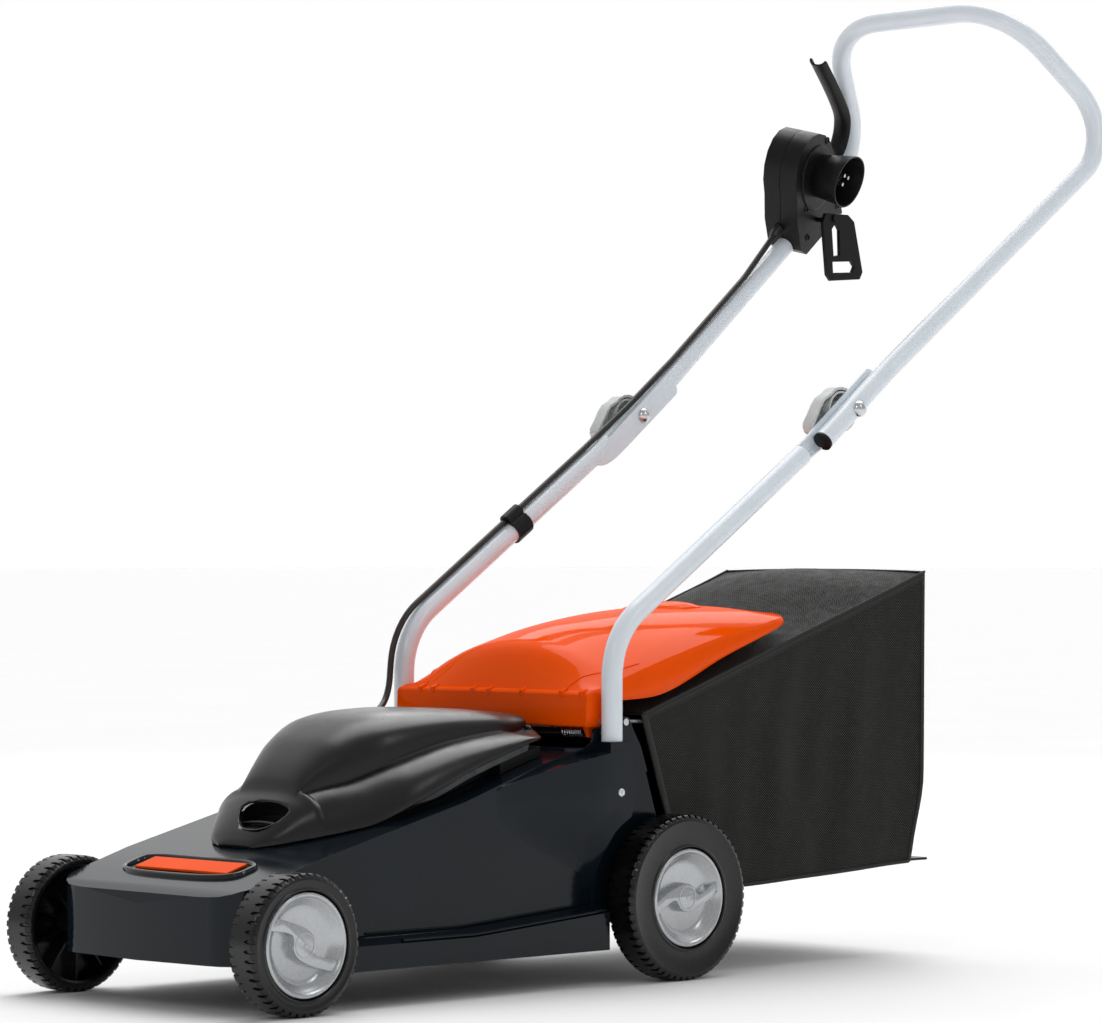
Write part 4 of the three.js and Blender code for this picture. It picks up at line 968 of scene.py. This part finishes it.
def flap_grip():
    """A low raised grip for the fingers across the flap's rear."""
    rows = []
    section = [(400, 0.0), (404, 2.2), (412, 4.6), (421, 6.2), (428, 6.4), (436, 5.0), (443, 2.4),
               (447, 0)]
    for x in steps(-44, 44, 16):
        taper = 1 - 0.75 * (abs(x) / 44) ** 6
        rows.append([(x, y, flap_top(x, y) - 0.8 + lift * taper) for y, lift in section])
    shape = Shape().grid(rows)
    for end in (rows[0], rows[-1]):
        shape.add(end, [list(range(len(end)))])
    return shape


def flap_ribs():
    """Nubs along the ledge of the front face, and a fine rib sweeping back at each shoulder."""
    shape = Shape()
    for x in (-111, -91, -28, -3, 48, 108, 138):
        rows = []
        for half, lift in ((-2.6, -0.6), (-1.9, 1.3), (1.9, 1.3), (2.6, -0.6)):
            rows.append([(x + half, 160.9 - lift * 0.5, 299), (x + half, 161 - lift, 303.4 + lift),
                         (x + half, 165, 304.9 + lift), (x + half, 168.6, 306.6 + lift)])
        shape.grid(rows)
    places = ((168.4, 109), (172, 110), (178, 113), (185, 117), (194, 122), (206, 127), (226, 132),
              (250, 135))
    for side in (1, -1):
        path = [(side * x, y, flap_top(x, y) + 0.1) for y, x in places]
        shape.merge(sweep(path, 0.8, 8, Vector((0, 0, 1)), 0.3))
    return shape


def make_flap(look):
    flap = flap_shell().piece("flap_shell", None, look["orange"], thick=2.8, crease=30)
    applied(flap)
    dress(flap, "flap", ["discharge_flap"])
    flap_grip().piece("flap_grip", "flap", look["orange"], slot="orange_plastic", crease=35)
    flap_ribs().piece("flap_ribs", "flap", look["orange"], slot="orange_plastic", crease=40)
    knuckle = [(164, 276), (175, 256), (189, 256), (190, 270), (179, 302), (173, 302)]
    for side, name in ((1, "left"), (-1, "right")):
        rows = [[(side * x, y, z) for y, z in knuckle] for x in (132, 138)]
        Shape().grid(rows, around=True, ends=True).piece(
            f"flap_knuckle_{name}", "flap", look["orange"], slot="orange_plastic", bevel=1.2)
    refined("flap_hinge_rod", look["dark_steel"], 0.5)
    refined("bag_hanger_rod", look["steel"], 0.5)
    turns = 9
    coil = []
    for k in range(turns * 16 + 1):
        angle = math.tau * k / 16
        coil.append((93 + 31 * k / (turns * 16), FLAP_HINGE[0] + 5.6 * math.cos(angle),
                     FLAP_HINGE[1] + 5.6 * math.sin(angle)))
    coil += [(124.4, 190, 257), (124.4, 200, 256.6), (124.4, 208, 256.4)]
    sweep(coil, 1.1, 8, Vector((1, 0, 0)), 0.3).piece(
        "flap_spring_coil", "deck", look["steel"], ["flap_spring"], "bright_steel")


# ---- grass bag ----------------------------------------------------------------------------------
def bag_section(y_seam):
    """One hoop of the bag: up the right side, over the crown, down the left, with slack cloth."""
    y_top, seam, crown, y_low, low, half = interpolated(BAG_STATIONS, y_seam)
    along = (y_seam - BAG_STATIONS[0][0]) / (BAG_STATIONS[-1][0] - BAG_STATIONS[0][0])
    slack = math.sin(math.pi * min(1, max(0, along))) ** 0.7
    points = []

    def at(x, z):
        share = min(1, (z - low) / (seam - low))
        slump = 19 * smooth_step(0.6, 1, along) * smooth_step(0.3, 0, share)
        return (x, y_low + (y_top - y_low) * share - slump, z)

    for k in range(5):
        x = half * k / 4 * 0.985 if k < 4 else half - 2
        points.append(at(x, low - 2.5 * slack * (1 - (k / 4) ** 2)))
    for k in range(1, 22):
        share = k / 22
        z = low + (seam - low) * share
        belly = math.sin(math.pi * share)
        ripple = 1.1 * math.sin(along * 21 + share * 2.4) + 0.7 * math.sin(along * 43 - share * 5)
        fold = math.exp(-((along - 0.62 + 0.18 * share) / 0.05) ** 2) * 2.2 * (1 - share)
        crease = math.exp(-((along - 0.25 - 0.3 * share) / 0.045) ** 2) * 1.6 * share
        points.append(at(half - slack * belly * (3.4 + ripple * 1.5) - fold * 1.5 + crease * 0.8, z))
    points.append(at(half, seam))
    for k in range(1, 17):
        share = k / 16
        x = half * (1 - share)
        lift = crown * (1 - (1 - share) ** 2.2)
        sag = 1.2 * slack * math.sin(math.pi * share) * math.sin(along * 17 + share * 4)
        if share < 1:
            points.append(at(x, seam + lift - 1.0 * slack + sag * 0.6))
        else:
            points.append(at(0, seam + crown - slack))
    return points + [(-x, y, z) for x, y, z in points[1:-1]][::-1]


def bag_shell():
    first, last = BAG_STATIONS[0][0], BAG_STATIONS[-1][0]
    rows = [bag_section(y) for y in steps(first, last, 72)]
    shape = Shape().grid(rows, around=True)
    centre_y, centre_z = 688, 262
    end = rows[-1]
    inner = []
    for share in (0.96, 0.85, 0.68, 0.48, 0.26, 0.08):
        bulge = -3.5 * (1 - share ** 2)
        inner.append([(x * share, centre_y + (y - centre_y) * share + bulge - 0.6,
                       centre_z + (z - centre_z) * share) for x, y, z in end])
    shape.grid([end, *inner], around=True)
    shape.add(inner[-1], [list(range(len(end)))])
    return shape


def seam_line(offset_x, offset_z):
    """Points beside the top seam of one side."""
    points = []
    for y in steps(246, 690, 60):
        y_top, seam, _, _, _, half = interpolated(BAG_STATIONS, y)
        points.append((half + offset_x, y_top, seam + offset_z))
    return points


def hoop(y_seam, out, slide):
    """A row of points round the bag at a station, moved out and along y."""
    ring = bag_section(y_seam)
    points = []
    for x, y, z in ring:
        away = Vector((x / 150, 0, (z - 230) / 130)).normalized() * out
        points.append((x + away.x, y + slide, z + away.z))
    return points


def tape(lines):
    """A sewn tape whose long edges follow the given lines of points."""
    return Shape().grid([[line[i] for line in lines] for i in range(len(lines[0]))], around=True, ends=True)


def make_bag(look):
    bag = bag_shell().piece("bag_cloth", None, look["bag"], thick=1.2, crease=50)
    applied(bag)
    dress(bag, "bag", ["grass_bag"])

    def piping():
        shape = sweep(seam_line(0.6, 0.4), 1.7, 8, Vector((1, 0, 0)), 0.4)
        shape.merge(sweep(seam_line(0.5, -7.5), 1.0, 8, Vector((1, 0, 0)), 0.3))
        foot = [max(bag_section(y)[2:7], key=lambda point: point[0] - point[2])
                for y in steps(250, 688, 44)]
        shape.merge(sweep(foot, 2.2, 8, Vector((1, 0, 0)), 0.4))
        return shape.merge(tape([seam_line(0.2, -0.4), seam_line(1.0, -1.2), seam_line(1.0, -6.6),
                                 seam_line(0.0, -7.4)]))

    both_sides(piping).piece("bag_piping", "bag", look["binding"], slot="bag_mesh", crease=60)
    mouth = Shape().grid([hoop(246, 0.2, 8), hoop(246, 1.4, 7), hoop(246, 1.6, -0.6), hoop(246, 0.2, -1.6),
                          hoop(246, -1.8, -0.6), hoop(246, -1.8, 6)], around=True)
    mouth.piece("bag_mouth_binding", "bag", look["binding"], slot="bag_mesh", crease=60)
    rear = [[Vector((x, y, z)) for x, y, z in hoop(690, out, slide)]
            for out, slide in ((0.2, -4), (1.2, -3), (1.4, 0.6), (0.2, 1.6), (-3, 1.4))]
    Shape().grid(rear, around=True).piece(
        "bag_rear_binding", "bag", look["binding"], slot="bag_mesh", crease=60)
    lip = [(-151, 660, 104), (-151, 697, 104), (151, 697, 104), (151, 660, 104)]
    Shape().grid([lip, [(x, y, z + 3) for x, y, z in lip]], around=True, ends=True).piece(
        "bag_rear_lip", "bag", look["black"], slot="bag_mesh", bevel=1.2)
    refined("bag_frame", look["steel"], 0.4, 50)


# ---- handle -------------------------------------------------------------------------------------
def near_joint(slope, s, n, x):
    """A point s along a tube of that slope from the joint's bolt, n above its axis."""
    return Vector((x, JOINT.y + s * math.cos(slope) - n * math.sin(slope),
                   JOINT.z + s * math.sin(slope) + n * math.cos(slope)))


def lower_tube():
    """Upright tube, bent back, opened into a trough and pressed flat for the joint."""
    corner_z = JOINT.z - (JOINT.y - LOWER_TUBE_Y) * math.tan(LOWER_SLOPE)
    corner = Vector((LOWER_TUBE_X, LOWER_TUBE_Y, corner_z))
    trough_start = near_joint(LOWER_SLOPE, -92, 0, 163.7)
    path = rounded_path([(LOWER_TUBE_X, LOWER_TUBE_Y, TUBE_FOOT), corner, trough_start], [84], 14)
    shape = sweep(path, TUBE_RADIUS, 28, Vector((1, 0, 0)), 3, (0,))
    rows = []
    sides = 24
    for s in steps(-93, -60, 6):
        flat = smooth_step(-84, -58, s)
        centre = near_joint(LOWER_SLOPE, s, 0, 163.8)
        up = Vector((0, -math.sin(LOWER_SLOPE), math.cos(LOWER_SLOPE)))
        ring = []
        for k in range(sides // 2 + 1):
            angle = math.pi / 2 + math.pi * k / (sides // 2)
            wide = 1 + 0.12 * flat
            x = math.cos(angle) * TUBE_RADIUS * (1 - 0.1 * flat)
            ring.append(centre + Vector((x, 0, 0)) + up * (math.sin(angle) * TUBE_RADIUS * wide))
        inner = [centre + (p - centre) * 0.86 for p in ring[::-1]]
        rows.append(ring + inner)
    shape.grid(rows, around=True, ends=True)
    return shape


def joint_plate():
    """The flat end of the lower tube, tapering towards the tube, with thinned edges."""
    outline = []
    for centre_s, reach, start in ((-54, 40, 90), (58, 7, -90)):
        for k in range(13):
            angle = math.radians(start + 180 * k / 12)
            outline.append((centre_s + reach * math.cos(angle), 12.4 * math.sin(angle)))
    rows = []
    for x, shrink in ((153.4, 0.93), (153.8, 1), (156.0, 1), (156.4, 0.93)):
        rows.append([near_joint(UPPER_SLOPE, -6 + (s + 6) * (1 - (1 - shrink) * 0.2), n * shrink, x)
                     for s, n in outline])
    return Shape().grid(rows, around=True, ends=True)


def side_of(shape, side):
    return Shape().merge(shape, lambda p: Vector((side * p.x, p.y, p.z)))


def dome_bolt(head_face, knob_face):
    """A round head pointing to the machine's left, its shank ending in the knob."""
    dome = [(0.05, head_face + 6.6), (2.4, head_face + 6.4), (4.8, head_face + 5.6), (6.8, head_face + 4.2),
            (8.2, head_face + 2.3), (8.9, head_face + 0.6), (9, head_face), (4, head_face),
            (4, knob_face - 9.5), (3, knob_face - 10.5), (0.05, knob_face - 10.5)]
    return lathe(dome, (0, JOINT.y, JOINT.z), 32)


def make_handle(look):
    lower = lower_tube().merge(joint_plate())
    for side, name in ((1, "left"), (-1, "right")):
        side_of(lower, side).piece(f"lower_tube_{name}", "deck", look["tube"], [f"handle_lower_{name}"],
                                   "tube_paint", 40)
        plug_end = near_joint(UPPER_SLOPE, -61, 0, side * JOINT.x)
        axis = Vector((0, math.cos(UPPER_SLOPE), math.sin(UPPER_SLOPE)))
        sweep([plug_end, plug_end + axis * 0.8, plug_end + axis * 2.4], TUBE_RADIUS + 0.1, 28,
              Vector((1, 0, 0)), 1.2).piece(
            f"end_plug_{name}", "upper_handle", look["black"], [f"tube_plug_{name}"], "black_plastic")
    corners = [near_joint(UPPER_SLOPE, -TUBE_TAIL, 0, JOINT.x), near_joint(UPPER_SLOPE, 70, 0, JOINT.x),
               ELBOW, CROSSBAR_END]
    corners += [mirrored(p) for p in corners[::-1]]
    sweep(rounded_path(corners, [300, 69, 99, 99, 69, 300], 14), TUBE_RADIUS, 28).piece(
        "upper_tube", "upper_handle", look["tube"], ["handle_upper"], "tube_paint", 40)
    outer, inner = JOINT.x + TUBE_RADIUS + 0.3, 153.1
    for name, head, knob in (("left", outer, inner), ("right", -inner, -outer)):
        dome_bolt(head, knob).piece(f"dome_bolt_{name}", "upper_handle", look["steel"],
                                   [f"joint_bolt_{name}"], "bright_steel", 45)
        refined(f"wing_knob_{name}", look["lever"], 0.9, 30)


# ---- switch box ---------------------------------------------------------------------------------
def switch_frame():
    """The box's own frame on the right tube: a up the tube, b to its front, c inboard."""
    foot, elbow = mirrored(near_joint(UPPER_SLOPE, 70, 0, JOINT.x)), mirrored(ELBOW)
    a = (elbow - foot).normalized()
    c = Vector((math.cos(0.35), 0.606 * math.sin(0.35), -0.795 * math.sin(0.35)))
    c = (c - a * c.dot(a)).normalized()
    b = c.cross(a)
    origin = foot - a * 70
    return lambda p: origin + a * p[0] + b * p[1] + c * p[2]


on_handle = switch_frame()
BOX_HALF = 23
INLET = (412, 66)
PIVOT = (424, 45)


def inlet_horn():
    """The plug shroud: a flaring sleeve with a slanted, oval mouth."""
    rows = []
    sides = 48
    levels = [(0, 25.4, 0), (2, 26.2, 0), (14, 27.6, 0), (28, 29.6, 0), (42, 32, 0.9), (43.4, 31.6, 1),
              (43, 30, 1), (30, 27.4, 0.2), (16, 25.4, 0), (3.5, 24.2, 0), (3.4, 0.2, 0)]
    for rise, radius, slant in levels:
        ring = []
        for k in range(sides):
            angle = math.tau * k / sides
            tilt = -6 * slant * (1 - math.cos(angle - 0.6)) / 2
            oval = 1 + 0.03 * math.cos(2 * angle) * rise / 42
            ring.append(on_handle((INLET[0] + radius * oval * math.cos(angle),
                                   INLET[1] + radius * math.sin(angle), BOX_HALF + 0.3 + rise + tilt)))
        rows.append(ring)
    return Shape().grid(rows, around=True, ends=True)


def inlet_core():
    """The inlet's two pins and its earth contact."""
    shape = Shape()
    face = BOX_HALF + 4

    def post(a, b, radius, rise):
        start = on_handle((INLET[0] + a, INLET[1] + b, face))
        end = on_handle((INLET[0] + a, INLET[1] + b, face + rise))
        path = [start, start.lerp(end, 0.5), end]
        return sweep(path, radius, 16, Vector((0, 0, 1)), min(0.8, radius / 3))

    for a, b in ((-7, 0), (7, 0), (0, 8)):
        shape.merge(post(a, b, 2.3, 31))
    return shape


def contact_block():
    """The raised block that the pins stand in."""
    face = BOX_HALF + 4
    rows = []
    for rise, size in ((0, 14), (18, 13.4), (19, 12.6), (19, 6), (14, 5.4), (14, 0.1)):
        rows.append([on_handle((INLET[0] + size * math.cos(t) * 1.05,
                                INLET[1] + 2 + size * 0.8 * math.sin(t), face + rise))
                     for t in (math.tau * k / 36 for k in range(36))])
    return Shape().grid(rows, around=True)


def box_plate():
    """A raised plate round the inlet on the box's inner face, following the box's nose."""
    centre_a, centre_b = 404, 68
    outline = []
    for k in range(40):
        t = math.tau * k / 40
        outline.append((centre_a + 36 * math.cos(t), centre_b + 42 * math.sin(t)))
    rows = []
    for shrink, rise in ((0, -0.6), (0.2, 1.0), (1.2, 1.7), (4, 1.7)):
        scale = 1 - shrink / 40
        rows.append([on_handle((centre_a + (a - centre_a) * scale, centre_b + (b - centre_b) * scale,
                                BOX_HALF + rise)) for a, b in outline])
    return Shape().grid(rows, around=True, ends=True)


def box_screws():
    shape = Shape()
    for a, b in ((378, 96), (372, 44), (366, 6), (438, 100), (440, 2)):
        centre = on_handle((a, b, BOX_HALF))
        out = on_handle((a, b, BOX_HALF + 1)) - centre
        side = on_handle((a + 1, b, BOX_HALF)) - centre
        other = out.cross(side)
        rows = []
        for r, rise in ((4.4, -0.5), (4.4, 0.7), (3.9, 1.1), (2.9, 1.1), (2.7, -1.6), (0.1, -1.6)):
            rows.append([centre + out * rise + (side * math.cos(t) + other * math.sin(t)) * r
                         for t in (math.tau * k / 24 for k in range(24))])
        shape.grid(rows, around=True)
    return shape


def lever_path():
    """A smooth curve through the lever's bends, as (a, b) in the box's own frame."""
    points = [(430, 45), (470, 44), (488, 46), (500, 56), (507, 68), (509, 84), (502, 110), (489, 146),
              (474, 184)]
    smooth = []
    for i in range(len(points) - 1):
        p0 = points[max(i - 1, 0)]
        p1, p2 = points[i], points[i + 1]
        p3 = points[min(i + 2, len(points) - 1)]
        for k in range(5):
            t = k / 5
            smooth.append([0.5 * (2 * b + (c - a) * t + (2 * a - 5 * b + 4 * c - d) * t * t
                                  + (3 * b - a - 3 * c + d) * t**3) for a, b, c, d in zip(p0, p1, p2, p3)])
    return smooth + [list(points[-1])]


def lever_grip():
    """A half-pipe bar: the open side faces up the handle, the far end is cut square."""
    path = lever_path()
    rows = []
    for i, (a, b) in enumerate(path):
        before, after = path[max(i - 1, 0)], path[min(i + 1, len(path) - 1)]
        tangent = Vector((after[0] - before[0], after[1] - before[1])).normalized()
        normal = Vector((tangent.y, -tangent.x))
        share = i / (len(path) - 1)
        curl = smooth_step(0.25, 0.75, share)
        row = []
        for face, steps_round in ((1, range(0, 13)), (0.74, range(12, -1, -1))):
            for k in steps_round:
                t = math.pi * k / 12
                across = 11.4 * face * math.cos(t)
                depth = (4 + 5 * curl) * face * math.sin(t) - 3.2 * curl - 1.5
                row.append(on_handle((a - normal.x * depth, b - normal.y * depth, across)))
        rows.append(row)
    return Shape().grid(rows, around=True, ends=True)


def make_switch(look):
    refined("switch_housing", look["black"], 2.2, 30)
    refined("switch_cover", look["black"], 1.8, 30)
    inlet_horn().piece("inlet_horn", "upper_handle", look["black"], ["plug_inlet"], "black_plastic", 35)
    contact_block().piece("inlet_block", "upper_handle", look["black"], slot="black_plastic", crease=35)
    inlet_core().piece("inlet_contacts", "upper_handle", look["steel"], ["inlet_pins"], "bright_steel", 40)
    box_plate().piece("inlet_plate", "upper_handle", look["black"], slot="black_plastic", crease=35)
    box_screws().piece("box_screws", "upper_handle", look["black"], slot="black_plastic", crease=35)
    painted("micro_switch", look["black"])
    refined("lock_button", look["orange"], 0.8)
    barrel = [on_handle((PIVOT[0], PIVOT[1], c)) for c in (-10.8, -10, 10, 10.8)]
    lever = lever_grip().merge(sweep(barrel, 6.4, 20, Vector((0, 0, 1)), 0.6))
    lever.piece("bail_lever", "bail", look["black"], ["switch_lever"], "black_plastic", 40)
    refined("cable_hanger", look["black"], 1.0, 30)


# ---- cable --------------------------------------------------------------------------------------
def cable_path():
    """From the grommet, up in front of the right tubes, over the joint and into the box."""
    slope_top = mirrored(near_joint(LOWER_SLOPE, -90, CABLE_LIFT, 164.3))
    front_y = LOWER_TUBE_Y - CABLE_LIFT
    corner_z = slope_top.z - (slope_top.y - front_y) * math.tan(LOWER_SLOPE)
    corner = Vector((-LOWER_TUBE_X - 1, front_y, corner_z))
    middle_slope = (LOWER_SLOPE + UPPER_SLOPE) / 2
    bow = mirrored(near_joint(middle_slope, 0, CABLE_LIFT + 1.5, 166))
    corners = [
        GROMMET, Vector((-140, GROMMET.y, GROMMET.z)), Vector((-158, 158, 292)), corner, slope_top, bow,
        mirrored(near_joint(UPPER_SLOPE, 90, CABLE_LIFT, 168)), on_handle((258, CABLE_LIFT + 1, -2)),
        on_handle((349, 26, -4)),
    ]
    return rounded_path(corners, [22, 40, 95, 400, 600, 400, 160], 8, 12)


def make_cable(look):
    cable = sweep(cable_path(), CABLE_RADIUS, 14, Vector((0, 0, 1)), 0.5).piece(
        "motor_cable", None, look["cable"], crease=50)
    start = place(near_joint(LOWER_SLOPE, -90, CABLE_LIFT, 0))
    end = place(near_joint(UPPER_SLOPE, 90, CABLE_LIFT, 0))
    start.x = end.x = place((-168, 0, 0)).x
    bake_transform(cable)
    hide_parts("cable_lower", "cable_flex", "cable_upper")
    relief = [on_handle(p) for p in ((332, 25, -4), (340, 26, -4), (347, 26.5, -4))]
    sweep(relief, lambda t: 4.6 + 1.8 * t, 18, Vector((0, 0, 1)), 0.6).piece(
        "strain_relief", "upper_handle", look["cable"], slot="cable_black")
    refined("cable_grommet", look["cable"], 0.6)
    refined("cable_clip", look["black"], 0.8, 30)


# ---- stage --------------------------------------------------------------------------------------
def make_floor():
    mesh = bpy.data.meshes.new("floor")
    reach = 90
    mesh.from_pydata([(-reach, -reach, 0), (reach, -reach, 0), (reach, reach, 0), (-reach, reach, 0)], [],
                     [[0, 1, 2, 3]])
    floor = bpy.data.objects.new("floor", mesh)
    mesh.materials.append(surface("floor_paper", (0.86, 0.86, 0.86), 0.75, 0.01, 2, 60, 0.00005))
    bpy.context.scene.collection.objects.link(floor)


def main():
    aim_camera()
    light_studio()
    look = make_materials()
    make_wheels(look)
    make_deck(look)
    make_cover(look)
    make_motor(look)
    make_flap(look)
    make_bag(look)
    make_handle(look)
    make_switch(look)
    make_cable(look)
    make_floor()


main()
